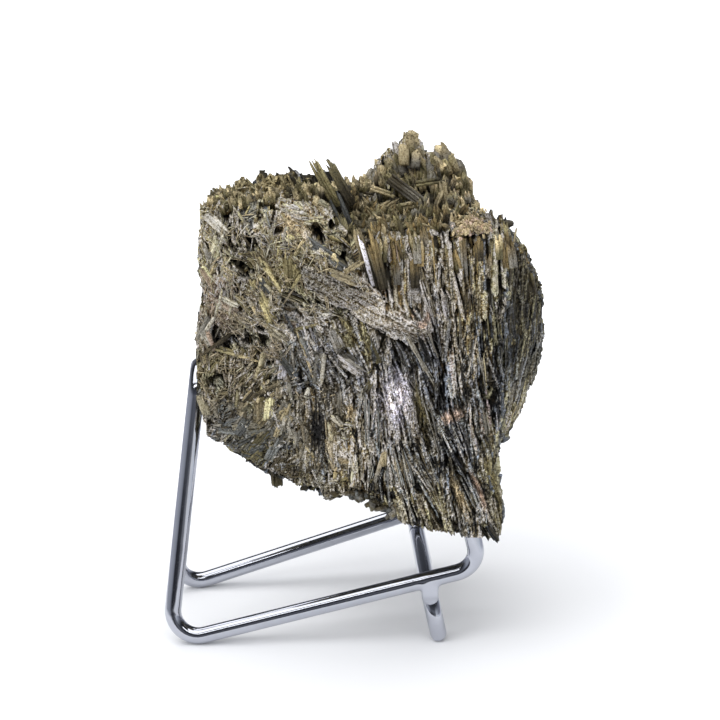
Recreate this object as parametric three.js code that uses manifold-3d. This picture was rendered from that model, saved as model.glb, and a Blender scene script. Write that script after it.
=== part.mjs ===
// A grown cluster of bladed epidote crystals on a small bent-wire display stand.
// Millimetres, +Z up. The cluster stands upright with its fibrous face towards -Y; it leans its
// left side on the stand's loop and rests its underside on the two hooks at the right.
import * as THREE from 'three';
import { ConvexGeometry } from 'three/addons/geometries/ConvexGeometry.js';
import { mergeVertices } from 'three/addons/utils/BufferGeometryUtils.js';
import Module from 'manifold-3d';

const wasm = await Module();
wasm.setup();

// ---- Driving dimensions: the stand -------------------------------------------------------------
// Measured from the wire's centreline. x = 0 is at the stand's rear bends, y = 0 on its middle
// plane, z = 0 the surface that it stands on.
const wireRadius = 1.6;
const wireSides = 12;
const bendRadius = 4.8;
const bendSteps = 6;
const loop = { x: 8, halfWidth: 4.8, z: 51.5 };
const rearBend = { x: 0, halfWidth: 13, z: 0 };
const frontBend = { x: 60, halfWidth: 18.5, z: 15.5 };
const hookTip = { x: 58, halfWidth: 19.5, z: 25 };
const brace = { x: 50.4, halfWidth: 18.4, foot: { x: 52.2, halfWidth: 17, z: 0.4 } };
const clearance = 0.3;
const seatZ = hookTip.z + clearance;

// ---- Driving dimensions: the cluster -----------------------------------------------------------
// Each mass is the hull of its corners. Together they are the body that the crystals stand on.
const masses = {
  fan: [
    [36, -19, 33], [45, -21, 28], [54, -21.6, seatZ], [63, -21.6, seatZ], [64.2, -21, 41],
    [65, -18, 68], [67, -14, 80.5], [59, -14, 82], [48, -14, 79], [39, -14, 79], [64, -4, 34],
    [67, -5, 79], [40, -4, 77], [38, -4, 30],
  ],
  lip: [
    [44.5, -22.6, 27.2], [52, -23.2, 24.4], [63, -23.6, 22.6], [64.5, -23, 28], [64, -21, 36],
    [42, -20, 36], [52, -21.6, 25.2], [62.4, -21.7, 23.6],
  ],
  left: [
    [10.5, -11, 86], [10, -13, 76], [8.4, -12.5, 62], [8.6, -11, 47], [9.5, -10, 41.5], [14, -11, 37.2],
    [21, -11, 32.8], [30, -13, 29], [37, -16, 29.5], [42, -17, 45], [42, -16, 70], [39, -13, 79],
    [30, -9, 87.4], [16, -8, 87], [13, 12, 82], [12.2, 14, 60], [13, 10, 44], [24, 12, 36],
    [40, 14, 33], [40, 13, 82],
  ],
  shoulder: [
    [18, -13, 84.5], [30, -15, 81], [38, -18, 74.5], [46, -20, 68.4], [51, -20.4, 65.4], [51, -20, 63],
    [38, -17.5, 65], [29, -14, 75], [20, -6, 80], [46, -8, 66],
  ],
  lens: [
    [66, -10, 80], [69, -2, 76.5], [72, 0, 70], [74.4, 2, 64], [75.2, 3, 55], [73.6, 2, 47],
    [70.6, 0, 41], [67.6, -2, 36], [64.8, -6, 33.4], [70, 11, 72], [72, 12, 56], [70, 11, 44],
    [63, 15, 34], [60, 16, 77], [56, 12, 38], [58, -8, 40], [58, -6, 79],
  ],
  ridge: [
    [41, 8, 83.5], [45, 11, 88.5], [50.4, 12, 91], [58, 11, 87], [62, 10, 83], [64, 8, 77], [44, 17, 83],
    [51, 18, 86], [60, 17, 79], [42, 4, 50], [64, 4, 50], [44, 19, 46], [62, 19, 46],
  ],
  heel: [
    [40, 16, 34], [47, 18, 28], [55, 20.6, seatZ], [61, 20.6, seatZ], [64, 8, 27], [46, 0, 28],
    [63.4, -14, seatZ], [55, -20, seatZ], [40, 18.4, 50], [62, 19.4, 56], [40, -8, 40], [64, -6, 44],
  ],
  saddle: [[14, -6, 84], [14, 10, 82], [38, 12, 83], [62, 12, 79], [64, -6, 79], [38, -10, 78], [38, 0, 50]],
};

// Each row is a fan of laths: roots along one curve, tips along another, both from left to right.
const rows = [
  { count: 14, width: 3.8, depth: 2.6, scatter: 0.7, // long fibres down the front of the fan
    roots: [[39, -18.6, 33], [46, -21, 29], [54, -22.4, 26], [62.6, -22.8, 25]],
    tips: [[40, -14.6, 79], [48, -14.8, 79.5], [57, -15, 82], [65.5, -14.6, 81.5]] },
  { count: 15, width: 2, depth: 1.7, scatter: 1, // stubby terminations along the crest
    roots: [[39, -12, 75], [48, -12, 76], [58, -12, 78], [66, -12, 77]],
    tips: [[38.6, -13.6, 81.5], [48, -13.4, 82], [58, -13.2, 84.5], [67.6, -12.6, 82.4]] },
  { count: 7, width: 3, depth: 2.4, scatter: 0.8, // the lip's splintered lower edge
    roots: [[44, -21, 33], [54, -21.6, 33], [63.4, -22, 33]],
    tips: [[46.4, -22.4, 26], [55, -22.9, 23.8], [63.4, -23.4, 22.3]] },
  { count: 9, width: 3.6, depth: 2.4, scatter: 0.8, // right-hand lens, drawn together at its foot
    roots: [[65.4, -5, 35], [66.4, -1, 34.6], [66, 8, 35]],
    tips: [[69.5, -5, 78], [74.2, 2.4, 63], [71.6, 11.4, 71]] },
  { count: 10, width: 2.6, depth: 2, scatter: 1.1, // the high ridge at the back
    roots: [[42, 9, 78], [50, 12, 81], [57, 12, 80], [63, 10, 74]],
    tips: [[43.6, 10, 89], [50.2, 12.4, 94], [56.6, 11.6, 90.6], [63.6, 9.6, 81]] },
  { count: 9, width: 2, depth: 1.6, scatter: 1.6, // loose laths standing in the saddle
    roots: [[34, -4, 78], [44, 0, 76], [58, 2, 76]],
    tips: [[33, -4, 92.4], [42, 1, 86], [60, 3, 83]] },
  { count: 13, width: 2.4, depth: 2, scatter: 1.3, // terminations along the left-hand top
    roots: [[13, -6, 82], [22, -6, 82], [30, -6, 82], [38, -6, 80]],
    tips: [[11.4, -8, 87], [21, -7.6, 89.6], [30, -7, 90.6], [38.6, -7, 89]] },
  { count: 10, width: 2.2, depth: 2, scatter: 1.2, // back of the left-hand top
    roots: [[17, 8, 78], [28, 8, 79], [40, 12, 78]],
    tips: [[15.6, 9.6, 86.4], [27, 10, 88.4], [39, 13.4, 88]] },
  { count: 11, width: 2.6, depth: 1.8, scatter: 1.2, // steep laths across the middle of the face
    roots: [[30, -11, 36], [36, -15, 38], [44, -18, 40]],
    tips: [[20, -14.4, 62], [31, -16, 64], [40, -18.4, 66]] },
  { count: 9, width: 2.4, depth: 2, scatter: 1.4, // crossing laths on the upper left of the face
    roots: [[24, -8, 66], [28, -9, 72], [34, -10, 78]],
    tips: [[11, -14.6, 69], [15, -15.4, 78], [22, -14, 86]] },
  { count: 10, width: 2.2, depth: 1.8, scatter: 1, // ends that stand out of the left side
    roots: [[15, -6, 82], [16, -6, 66], [15, -6, 50]],
    tips: [[9.8, -10.6, 84], [8, -13, 63], [8.6, -11.4, 46]] },
  { count: 12, width: 2.8, depth: 2, scatter: 0.9, // ragged lower left edge
    roots: [[22, -7, 46], [30, -9, 42], [38, -13, 38]],
    tips: [[11.6, -10.6, 39.6], [22, -11.6, 31.4], [34.6, -14.6, 27.8]] },
  { count: 12, width: 3.6, depth: 2.4, scatter: 1, // fibres down the back, right-hand half
    roots: [[46, 17, 32], [54, 18, 29.6], [62, 17.4, 30]],
    tips: [[41, 17.6, 78], [52, 18.6, 84], [64, 16.4, 76]] },
  { count: 10, width: 3.4, depth: 2.4, scatter: 1.2, // fibres down the back, left-hand half
    roots: [[22, 10.4, 40], [32, 12.6, 36], [42, 15, 34]],
    tips: [[16.4, 13, 76], [27, 13.6, 82], [38, 15, 84]] },
];

// Crystals that stand alone: root, tip, width, depth.
const singles = [
  { root: [42, -15, 70], tip: [38.4, -18, 82.2], width: 2.6, depth: 2.2 }, // the bright prism
  { root: [43, -15, 70.4], tip: [41.4, -17.6, 81.6], width: 2.4, depth: 2 }, // its neighbour
  { root: [35, -9, 79], tip: [32.6, -6, 93], width: 1.8, depth: 1.6 }, // pair of upright laths
  { root: [38, -8, 80], tip: [35.2, -6, 93.6], width: 1.8, depth: 1.6 },
  { root: [20, -11, 83], tip: [50.6, -20.8, 64.4], width: 3.4, depth: 3 }, // fibrous diagonal rib
  { root: [26, -11, 79], tip: [50, -20.2, 62.8], width: 3, depth: 3 },
];

// ---- Solids ------------------------------------------------------------------------------------
const metal = new THREE.MeshStandardMaterial({ color: 0xc8ccd2, roughness: 0.12, metalness: 1 });
const crystal = new THREE.MeshStandardMaterial({ color: 0x6c6754, roughness: 0.5, metalness: 0 });

function solidOf(geometry) {
  geometry.deleteAttribute('normal');
  geometry.deleteAttribute('uv');
  const merged = mergeVertices(geometry, 1e-4);
  return new wasm.Manifold(new wasm.Mesh({
    numProp: 3,
    vertProperties: new Float32Array(merged.attributes.position.array),
    triVerts: new Uint32Array(merged.index.array),
  }));
}

function geometryOf(solid) {
  const mesh = solid.getMesh();
  const geometry = new THREE.BufferGeometry();
  geometry.setAttribute('position', new THREE.BufferAttribute(mesh.vertProperties, 3));
  geometry.setIndex(new THREE.BufferAttribute(mesh.triVerts, 1));
  geometry.computeVertexNormals();
  return geometry;
}

const point = ([x, y, z]) => new THREE.Vector3(x, y, z);
const join = (solids) => solids.reduce((whole, next) => whole.add(next));

// ---- Stand -------------------------------------------------------------------------------------
// A bent wire's centreline: straight runs joined by round bends. Its stations are the ends of the
// runs and the steps of each bend, so that a swept section follows it exactly.
class WireLine extends THREE.Curve {
  constructor(corners, radius) {
    super();
    this.stations = [];
    this.headings = [];
    const last = corners.length - 1;
    this.addStation(corners[0], corners[1].clone().sub(corners[0]));
    for (let i = 1; i < last; i++) this.addBend(corners[i - 1], corners[i], corners[i + 1], radius);
    this.addStation(corners[last], corners[last].clone().sub(corners[last - 1]));
  }

  addStation(place, heading) {
    this.stations.push(place.clone());
    this.headings.push(heading.clone().normalize());
  }

  addBend(before, corner, after, radius) {
    const inward = corner.clone().sub(before).normalize();
    const outward = after.clone().sub(corner).normalize();
    const turn = inward.angleTo(outward);
    const axis = inward.clone().cross(outward).normalize();
    const setback = radius * Math.tan(turn / 2);
    const start = corner.clone().addScaledVector(inward, -setback);
    const centre = start.clone().addScaledVector(axis.clone().cross(inward), radius);
    for (let step = 0; step <= bendSteps; step++) {
      const angle = turn * step / bendSteps;
      const arm = start.clone().sub(centre).applyAxisAngle(axis, angle);
      this.addStation(centre.clone().add(arm), inward.clone().applyAxisAngle(axis, angle));
    }
  }

  get steps() {
    return this.stations.length - 1;
  }

  getPointAt(u) {
    return this.stations[Math.round(u * this.steps)].clone();
  }

  getTangentAt(u) {
    return this.headings[Math.round(u * this.steps)].clone();
  }
}

function wire(corners, radius) {
  const line = new WireLine(corners.map(point), bendRadius);
  const section = new THREE.Shape();
  section.absarc(0, 0, radius, 0, 2 * Math.PI);
  return solidOf(new THREE.ExtrudeGeometry(section, {
    steps: line.steps, extrudePath: line, curveSegments: wireSides / 2,
  }));
}

const frameCorners = [
  [hookTip.x, -hookTip.halfWidth, hookTip.z],
  [frontBend.x, -frontBend.halfWidth, frontBend.z],
  [rearBend.x, -rearBend.halfWidth, rearBend.z],
  [loop.x, -loop.halfWidth, loop.z],
  [loop.x, loop.halfWidth, loop.z],
  [rearBend.x, rearBend.halfWidth, rearBend.z],
  [frontBend.x, frontBend.halfWidth, frontBend.z],
  [hookTip.x, hookTip.halfWidth, hookTip.z],
];

const slope = (frontBend.z - rearBend.z) / (frontBend.x - rearBend.x);
const braceTop = rearBend.z + slope * brace.x - 2 * wireRadius - clearance;
const braceCorners = [
  [brace.foot.x, -brace.foot.halfWidth, brace.foot.z],
  [brace.x, -brace.halfWidth, braceTop],
  [brace.x, brace.halfWidth, braceTop],
  [brace.foot.x, brace.foot.halfWidth, brace.foot.z],
];

// ---- Cluster -----------------------------------------------------------------------------------
function seeded(seed) {
  let state = seed;
  return () => {
    state = (state * 1664525 + 1013904223) % 4294967296;
    return state / 4294967296;
  };
}

const random = seeded(11);
const spread = (amount) => (random() * 2 - 1) * amount;
const hull = (corners) => solidOf(new ConvexGeometry(corners));

// A lath: a flat prism with a chisel end. Its broad side lies across the way from root to tip.
function lath(root, tip, width, depth) {
  const along = tip.clone().sub(root);
  const length = along.length();
  const heading = along.normalize();
  const facing = new THREE.Vector3(spread(0.5), -1, spread(0.3));
  const across = heading.clone().cross(facing).normalize();
  const outward = across.clone().cross(heading);
  const corner = (s, w, d) => root.clone().addScaledVector(heading, s * length)
    .addScaledVector(across, w * width / 2).addScaledVector(outward, d * depth / 2);
  const shoulder = 1 - Math.min(0.3, width * 0.7 / length);
  const corners = [];
  for (const [w, d] of [[-1, -0.4], [0.5, -1], [1, 0.4], [-0.5, 1]]) {
    corners.push(corner(0, w * 0.8, d * 0.8), corner(shoulder, w, d));
  }
  corners.push(corner(1, -0.4, 0), corner(1, 0.3, 0));
  return hull(corners);
}

// The shell that holds the most: slivers of space shut in between laths are filled.
const outermost = (solid) => solid.decompose().reduce((a, b) => (b.volume() > a.volume() ? b : a));

function row({ count, width, depth, scatter, roots, tips }) {
  const rootLine = new THREE.CatmullRomCurve3(roots.map(point));
  const tipLine = new THREE.CatmullRomCurve3(tips.map(point));
  const laths = [];
  for (let i = 0; i < count; i++) {
    const t = Math.min(1, Math.max(0, (i + 0.5 + spread(0.35)) / count));
    const root = rootLine.getPoint(t);
    const tip = tipLine.getPoint(t);
    tip.add(new THREE.Vector3(spread(0.5), spread(0.4), spread(1)).multiplyScalar(scatter));
    laths.push(lath(root, tip, width * (1 + spread(0.25)), depth * (1 + spread(0.25))));
  }
  return join(laths);
}

function cluster() {
  const grown = join([
    ...Object.values(masses).map((corners) => hull(corners.map(point))),
    ...rows.map(row),
    ...singles.map(({ root, tip, width, depth }) => lath(point(root), point(tip), width, depth)),
  ]);
  return outermost(grown.subtract(wire(frameCorners, wireRadius + clearance)));
}

// ---- Assembly ----------------------------------------------------------------------------------
const part = new THREE.Group();

function place(name, solid, material) {
  const mesh = new THREE.Mesh(geometryOf(solid), material);
  mesh.name = name;
  part.add(mesh);
}

place('stand_frame', wire(frameCorners, wireRadius), metal);
place('stand_brace', wire(braceCorners, wireRadius), metal);
place('epidote_cluster', cluster(), crystal);

// The origin is the middle of the bounding box's underside.
const box = new THREE.Box3().setFromObject(part);
const middle = box.getCenter(new THREE.Vector3());
part.position.set(-middle.x, -middle.y, -box.min.z);

export default part;
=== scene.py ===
# A grown cluster of bladed epidote crystals, resting on a small display stand of chromed wire.
# Places are given in millimetres from the stand's own origin: x = 0 at its rear bends and towards
# its hooks, y = 0 on its middle plane and away from the viewer, z = 0 on the surface it stands on.
from math import cos, exp, pi, radians, sin, tan

import bmesh
import bpy
import numpy as np
from mathutils import Matrix, Vector, noise
from mathutils.bvhtree import BVHTree


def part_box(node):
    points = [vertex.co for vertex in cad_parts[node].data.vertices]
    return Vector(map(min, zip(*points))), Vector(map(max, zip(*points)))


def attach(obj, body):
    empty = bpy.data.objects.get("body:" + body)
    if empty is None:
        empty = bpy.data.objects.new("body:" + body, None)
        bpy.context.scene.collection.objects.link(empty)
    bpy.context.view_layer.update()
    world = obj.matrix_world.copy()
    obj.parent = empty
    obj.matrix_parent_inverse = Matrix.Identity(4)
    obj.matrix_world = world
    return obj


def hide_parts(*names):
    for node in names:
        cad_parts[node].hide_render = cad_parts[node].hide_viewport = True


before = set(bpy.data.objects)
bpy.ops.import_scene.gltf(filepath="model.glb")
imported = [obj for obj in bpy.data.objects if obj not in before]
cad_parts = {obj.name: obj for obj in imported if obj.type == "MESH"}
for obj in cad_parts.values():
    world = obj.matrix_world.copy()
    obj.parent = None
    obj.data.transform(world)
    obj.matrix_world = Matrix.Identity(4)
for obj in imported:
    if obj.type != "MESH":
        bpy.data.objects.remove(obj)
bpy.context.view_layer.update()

MM = 0.001
frame_low, frame_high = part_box("stand_frame")
HOME = Vector((frame_low.x + 0.5 * MM, (frame_low.y + frame_high.y) / 2, 0))


def at(x, y, z):
    """A place in stand millimetres, as metres in the shared frame."""
    return HOME + Vector((x, y, z)) * MM


# ---- Camera ----------------------------------------------------------------------------------
# A long lens looks down a little on the fibrous face, nearly square to it.
camera_data = bpy.data.cameras.new("camera")
camera_data.lens = 100.2
camera_data.sensor_width = 36
camera_data.clip_start = 0.01
camera = bpy.data.objects.new("camera", camera_data)
bpy.context.scene.collection.objects.link(camera)
turn, rise, roll, distance = radians(-2.284), radians(17.361), radians(-1.718), 386.6
away = Vector((sin(turn) * cos(rise), -cos(turn) * cos(rise), sin(rise)))
camera.matrix_world = (Matrix.Translation(at(39.1, 0, 51.8) + away * distance * MM)
                       @ Matrix.Rotation(turn, 4, "Z") @ Matrix.Rotation(pi / 2 - rise, 4, "X")
                       @ Matrix.Rotation(roll, 4, "Z"))
bpy.context.scene.camera = camera


# ---- Floor, backdrop and lights --------------------------------------------------------------
# A white table under a soft overhead box. The room is darker in front than behind, which gives the
# bright wire its dark bands.
class Shade:
    """A socket of a node tree, for use in sums. Shade(tree) alone stands for the whole tree."""

    def __init__(self, tree, socket=None):
        self.tree = tree
        self.socket = socket

    def node(self, kind, settings=None, sockets=None, out=0):
        """Adds a node: first its settings, then the values or links of its sockets."""
        made = self.tree.nodes.new(kind)
        for name, value in (settings or {}).items():
            if name == "stops":
                while len(made.color_ramp.elements) < len(value):
                    made.color_ramp.elements.new(1)
                for element, (place, colour) in zip(made.color_ramp.elements, value):
                    element.position = place
                    element.color = (*colour, 1)
            else:
                setattr(made, name, value)
        for name, value in (sockets or {}).items():
            if isinstance(value, Shade):
                self.tree.links.new(value.socket, made.inputs[name])
            else:
                made.inputs[name].default_value = value
        return Shade(self.tree, made.outputs[out] if made.outputs else None)

    def math(self, operation, *values):
        return self.node("ShaderNodeMath", {"operation": operation}, dict(enumerate(values)))

    def __add__(self, other):
        return self.math("ADD", self, other)

    def __radd__(self, other):
        return self.math("ADD", other, self)

    def __sub__(self, other):
        return self.math("SUBTRACT", self, other)

    def __rsub__(self, other):
        return self.math("SUBTRACT", other, self)

    def __mul__(self, other):
        return self.math("MULTIPLY", self, other)

    def __rmul__(self, other):
        return self.math("MULTIPLY", other, self)

    def clamp(self, low=0.0, high=1.0):
        return self.node("ShaderNodeClamp", None, {"Value": self, "Min": low, "Max": high})

    def blend(self, first, second):
        """The colour between two colours that this value, 0 to 1, picks."""
        settings = {"data_type": "RGBA"}
        return self.node("ShaderNodeMix", settings, {0: self, 6: first, 7: second}, out=2)

    def stretch(self, factors):
        """This vector, multiplied by three factors."""
        sockets = {0: self, 1: factors}
        return self.node("ShaderNodeVectorMath", {"operation": "MULTIPLY"}, sockets)

    def tinted_by(self, tint):
        """This colour, multiplied by another one."""
        settings = {"data_type": "RGBA", "blend_type": "MULTIPLY"}
        return self.node("ShaderNodeMix", settings, {0: 1.0, 6: self, 7: tint}, out=2)

    def bump(self, strength, distance):
        """The surface's normal with this height on it."""
        sockets = {"Strength": strength, "Distance": distance, "Height": self}
        return self.node("ShaderNodeBump", None, sockets)

    def cells(self, scale):
        """A random value, 0 to 1, for each small cell: its random colour, made grey."""
        colours = self.node("ShaderNodeTexVoronoi", None, {"Vector": self, "Scale": scale}, out=1)
        return colours * 1.0

    def threads(self, scale, detail=2.0):
        """Thin bright curling lines, 0 to 1."""
        off = self.noise(scale, detail, 0.55) - 0.5
        return (1 - 11 * off.math("ABSOLUTE", off)).clamp()

    def noise(self, scale, detail=2.0, roughness=0.5):
        sockets = {"Vector": self, "Scale": scale, "Detail": detail, "Roughness": roughness}
        return self.node("ShaderNodeTexNoise", None, sockets)


def new_material(name):
    """A material and its empty node tree."""
    material = bpy.data.materials.new(name)
    material.use_nodes = True
    material.node_tree.nodes.clear()
    return material, Shade(material.node_tree)


def finish_with(tree, sockets):
    """Ends a material in one Principled surface."""
    surface = tree.node("ShaderNodeBsdfPrincipled", None, sockets)
    tree.node("ShaderNodeOutputMaterial", None, {"Surface": surface})


def object_of(mesh, name, material):
    """An object for a bmesh or a mesh."""
    if isinstance(mesh, bmesh.types.BMesh):
        data = bpy.data.meshes.new(name)
        mesh.to_mesh(data)
        mesh.free()
    else:
        data = mesh
    made = bpy.data.objects.new(name, data)
    made.data.materials.clear()
    made.data.materials.append(material)
    bpy.context.scene.collection.objects.link(made)
    return made


# In the wire, the table's far parts glow as light and dark cards round it: a painted reflection.
table_white, tree = new_material("table_white")
ground = tree.node("ShaderNodeTexCoord", out=3)
reach = tree.node("ShaderNodeVectorMath", {"operation": "LENGTH"}, {0: ground}, out=1)
rightward = tree.node("ShaderNodeSeparateXYZ", None, {0: ground}, out=0)
rearward = tree.node("ShaderNodeSeparateXYZ", None, {0: ground}, out=1)
card_stops = [
    (0.0, (0.5, 0.52, 0.56)), (0.1, (0.35, 0.37, 0.42)), (0.2, (0.03, 0.03, 0.036)),
    (0.46, (0.05, 0.052, 0.06)), (0.54, (0.22, 0.225, 0.24)), (0.68, (0.3, 0.31, 0.33)),
    (0.72, (1.0, 1.0, 1.0)), (0.95, (0.9, 0.95, 1.0)), (1.0, (0.6, 0.62, 0.68)),
]
cards = tree.node("ShaderNodeValToRGB", {"stops": card_stops},
                  {"Fac": 0.5 + 0.5 * rightward.math("DIVIDE", rightward, reach)})
cards = (0.5 - 60 * rearward).clamp().blend((0.55, 0.57, 0.64, 1), cards)
# The table glows a little, more and more away from the stand: painted light that whitens its far parts
# and lifts the shadow near the stand.
floor = tree.node("ShaderNodeBsdfPrincipled", None, {
    "Base Color": (0.8, 0.81, 0.835, 1),
    "Roughness": 0.75 + 0.1 * ground.noise(30),
    "Emission Color": ((reach - 0.05) * 5).clamp().blend((0.05, 0.05, 0.05, 1), (0.6, 0.6, 0.6, 1)),
    "Emission Strength": 1.0,
})
painted_card_reflection = tree.node("ShaderNodeEmission", None, {"Color": cards})
in_wire = ((reach - 0.06) * 40).clamp() * tree.node("ShaderNodeLightPath", out=3)
table_look = tree.node("ShaderNodeMixShader", None, {0: in_wire, 1: floor, 2: painted_card_reflection})
tree.node("ShaderNodeOutputMaterial", None, {"Surface": table_look})
table_shape = bmesh.new()
bmesh.ops.create_circle(table_shape, cap_ends=True, radius=4, segments=96)
table = object_of(table_shape, "table", table_white)


def soft_box(name, place, aim, width, height, power, mirrored_in_wire=True):
    """A rectangular soft light at place, facing aim, both in stand millimetres."""
    data = bpy.data.lights.new(name, "AREA")
    data.shape = "RECTANGLE"
    data.size, data.size_y, data.energy = width, height, power
    light = bpy.data.objects.new(name, data)
    light.location = at(*place)
    light.rotation_euler = (at(*aim) - at(*place)).to_track_quat("-Z", "Y").to_euler()
    light.visible_glossy = mirrored_in_wire
    bpy.context.scene.collection.objects.link(light)


soft_box("overhead_box", (-60, 40, 850), (40, 0, 40), 1.2, 1.1, 9)
soft_box("bar_light", (0, -750, 800), (40, 0, 40), 1.4, 0.12, 2)
soft_box("left_box", (-700, -420, 480), (40, 0, 60), 0.5, 0.6, 3, False)

# Mirror-like surfaces see a dim room over a pale horizon. A plain white sky lights the rest.
world = bpy.data.worlds.new("studio")
bpy.context.scene.world = world
world.use_nodes = True
world.node_tree.nodes.clear()
sky = Shade(world.node_tree)
heading = sky.node("ShaderNodeTexCoord")
sky_right = sky.node("ShaderNodeSeparateXYZ", None, {0: heading}, out=0)
sky_up = sky.node("ShaderNodeSeparateXYZ", None, {0: heading}, out=2)
room_stops = [
    (0.0, (0.55, 0.57, 0.62)), (0.12, (0.45, 0.47, 0.52)), (0.3, (0.09, 0.095, 0.11)),
    (0.55, (0.03, 0.032, 0.036)), (1.0, (0.02, 0.022, 0.026)),
]
panel_stops = [
    (0.0, (0.5, 0.52, 0.56)), (0.1, (0.35, 0.37, 0.42)), (0.22, (0.02, 0.02, 0.025)),
    (0.5, (0.1, 0.105, 0.12)), (0.68, (0.12, 0.125, 0.14)), (0.74, (0.75, 0.8, 0.85)),
    (0.86, (0.6, 0.64, 0.7)), (1.0, (0.2, 0.2, 0.25)),
]
room = sky.node("ShaderNodeValToRGB", {"stops": room_stops}, {"Fac": sky_up})
panels = sky.node("ShaderNodeValToRGB", {"stops": panel_stops}, {"Fac": 0.5 + 0.5 * sky_right})
mirrored_room = (sky_up * 2.2).clamp().blend(panels, room)
lit = sky.node("ShaderNodeBackground", None, {"Color": (0.98, 0.99, 1, 1), "Strength": 0.5})
mirror = sky.node("ShaderNodeBackground", None, {"Color": mirrored_room, "Strength": 1.0})
seen = sky.node("ShaderNodeBackground", None, {"Color": (1, 1, 1, 1), "Strength": 1.0})
in_mirror = sky.node("ShaderNodeLightPath", out=3)
indirect = sky.node("ShaderNodeMixShader", None, {0: in_mirror, 1: lit, 2: mirror})
in_view = sky.node("ShaderNodeLightPath", out=0)
shown = sky.node("ShaderNodeMixShader", None, {0: in_view, 1: indirect, 2: seen})
sky.node("ShaderNodeOutputWorld", None, {"Surface": shown})
bpy.context.scene.view_settings.view_transform = "Standard"


# ---- Stand frame: one bent wire --------------------------------------------------------------
# 3.2 mm steel wire, bent in a jig into a loop, two uprights, two base wires and two hooks, then
# chromed all over. Its ends are rounded.
WIRE_RADIUS = 1.6
BEND_RADIUS = 4.8
WIRE_SIDES = 32
LOOP = (8, 4.8, 51.5)
REAR_BEND = (0, 13, 0)
FRONT_BEND = (60, 18.5, 15.5)
HOOK_TIP = (58, 19.5, 25)


def draw_wire(shape, corners, bend_steps=10, dome_steps=5):
    """Sweeps the wire's round section through corners, in stand millimetres, with round bends."""
    points = [Vector(corner) for corner in corners]
    heading = (points[1] - points[0]).normalized()
    facing = heading.to_track_quat("Z", "Y").to_matrix().to_4x4()
    ring = bmesh.ops.create_circle(shape, segments=WIRE_SIDES, radius=WIRE_RADIUS,
                                   matrix=Matrix.Translation(points[0]) @ facing)["verts"]
    edges = list({edge for vert in ring for edge in vert.link_edges})

    def pull(matrix):
        """Extrudes the open end and moves its new ring."""
        nonlocal ring, edges
        made = bmesh.ops.extrude_edge_only(shape, edges=edges)["geom"]
        ring = [item for item in made if isinstance(item, bmesh.types.BMVert)]
        ends = set(ring)
        edges = [item for item in made
                 if isinstance(item, bmesh.types.BMEdge) and set(item.verts) <= ends]
        bmesh.ops.transform(shape, matrix=matrix, verts=ring)

    def dome(place, heading):
        """Rounds the open end off, to a point on the axis."""
        reach, radius = 0.0, WIRE_RADIUS
        axis = heading.to_track_quat("Z", "Y").to_matrix().to_4x4()
        for step in range(1, dome_steps + 1):
            angle = pi / 2 * step / dome_steps
            new_reach, new_radius = WIRE_RADIUS * sin(angle), max(WIRE_RADIUS * cos(angle), 0.01)
            centre = place + heading * new_reach
            shrink = Matrix.Diagonal((new_radius / radius, new_radius / radius, 1, 1))
            pull(Matrix.Translation(centre) @ axis @ shrink @ axis.inverted()
                 @ Matrix.Translation(-centre) @ Matrix.Translation(heading * (new_reach - reach)))
            reach, radius = new_reach, new_radius
        bmesh.ops.pointmerge(shape, verts=ring, merge_co=place + heading * WIRE_RADIUS)

    first_edges = list(edges)
    place = points[0]
    for corner, after in zip(points[1:-1], points[2:]):
        onward = (after - corner).normalized()
        angle = heading.angle(onward)
        axis = heading.cross(onward).normalized()
        start = corner - heading * BEND_RADIUS * tan(angle / 2)
        pull(Matrix.Translation(start - place))
        centre = start + axis.cross(heading) * BEND_RADIUS
        swing = Matrix.Rotation(angle / bend_steps, 4, axis)
        for step in range(bend_steps):
            pull(Matrix.Translation(centre) @ swing @ Matrix.Translation(-centre))
        place = corner + onward * BEND_RADIUS * tan(angle / 2)
        heading = onward
    pull(Matrix.Translation(points[-1] - heading * WIRE_RADIUS - place))
    dome(points[-1] - heading * WIRE_RADIUS, heading)
    edges = first_edges
    ring = list({vert for edge in edges for vert in edge.verts})
    start_heading = (points[0] - points[1]).normalized()
    bmesh.ops.translate(shape, vec=-start_heading * WIRE_RADIUS, verts=ring)
    dome(points[0] - start_heading * WIRE_RADIUS, start_heading)


def settle(shape):
    """Moves a finished bmesh from stand millimetres to the shared frame, faces outward."""
    bmesh.ops.recalc_face_normals(shape, faces=shape.faces)
    bmesh.ops.transform(shape, matrix=Matrix.Translation(HOME) @ Matrix.Scale(MM, 4), verts=shape.verts)


def mirrored(points):
    """A half route and its mirror image across the stand's middle plane, as one route."""
    return [(x, -y, z) for x, y, z in points] + [(x, y, z) for x, y, z in reversed(points)]


chrome, tree = new_material("bright_chrome")
place = tree.node("ShaderNodeTexCoord", out=3)
smears = place.noise(900, 3)
ripple = place.noise(260, 1)
finish_with(tree, {
    "Base Color": (ripple * 0.8).clamp().blend((0.52, 0.535, 0.59, 1), (0.42, 0.435, 0.49, 1)),
    "Metallic": 1.0,
    "Roughness": 0.04 + 0.12 * smears,
    "Normal": ripple.bump(0.15, 0.2 * MM),
})

shape = bmesh.new()
draw_wire(shape, mirrored([HOOK_TIP, FRONT_BEND, REAR_BEND, LOOP]))
settle(shape)
frame_wire = object_of(shape, "frame_wire", chrome)
frame_wire.data.shade_smooth()
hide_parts("stand_frame")
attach(frame_wire, "root")


# ---- Stand brace and its welds ---------------------------------------------------------------
# A bridge of the same wire under the base wires gives the stand its front feet. It is welded where
# it crosses them, and the plating runs smoothly over the two welds.
BRACE_X, BRACE_HALF_WIDTH = 50.4, 18.4
BRACE_FOOT = (52.2, 17, 0)
WELD_RADIUS = 1.04 * WIRE_RADIUS
base_slope = FRONT_BEND[2] / FRONT_BEND[0]
brace_top = base_slope * BRACE_X - 2 * WIRE_RADIUS - 0.2

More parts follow.
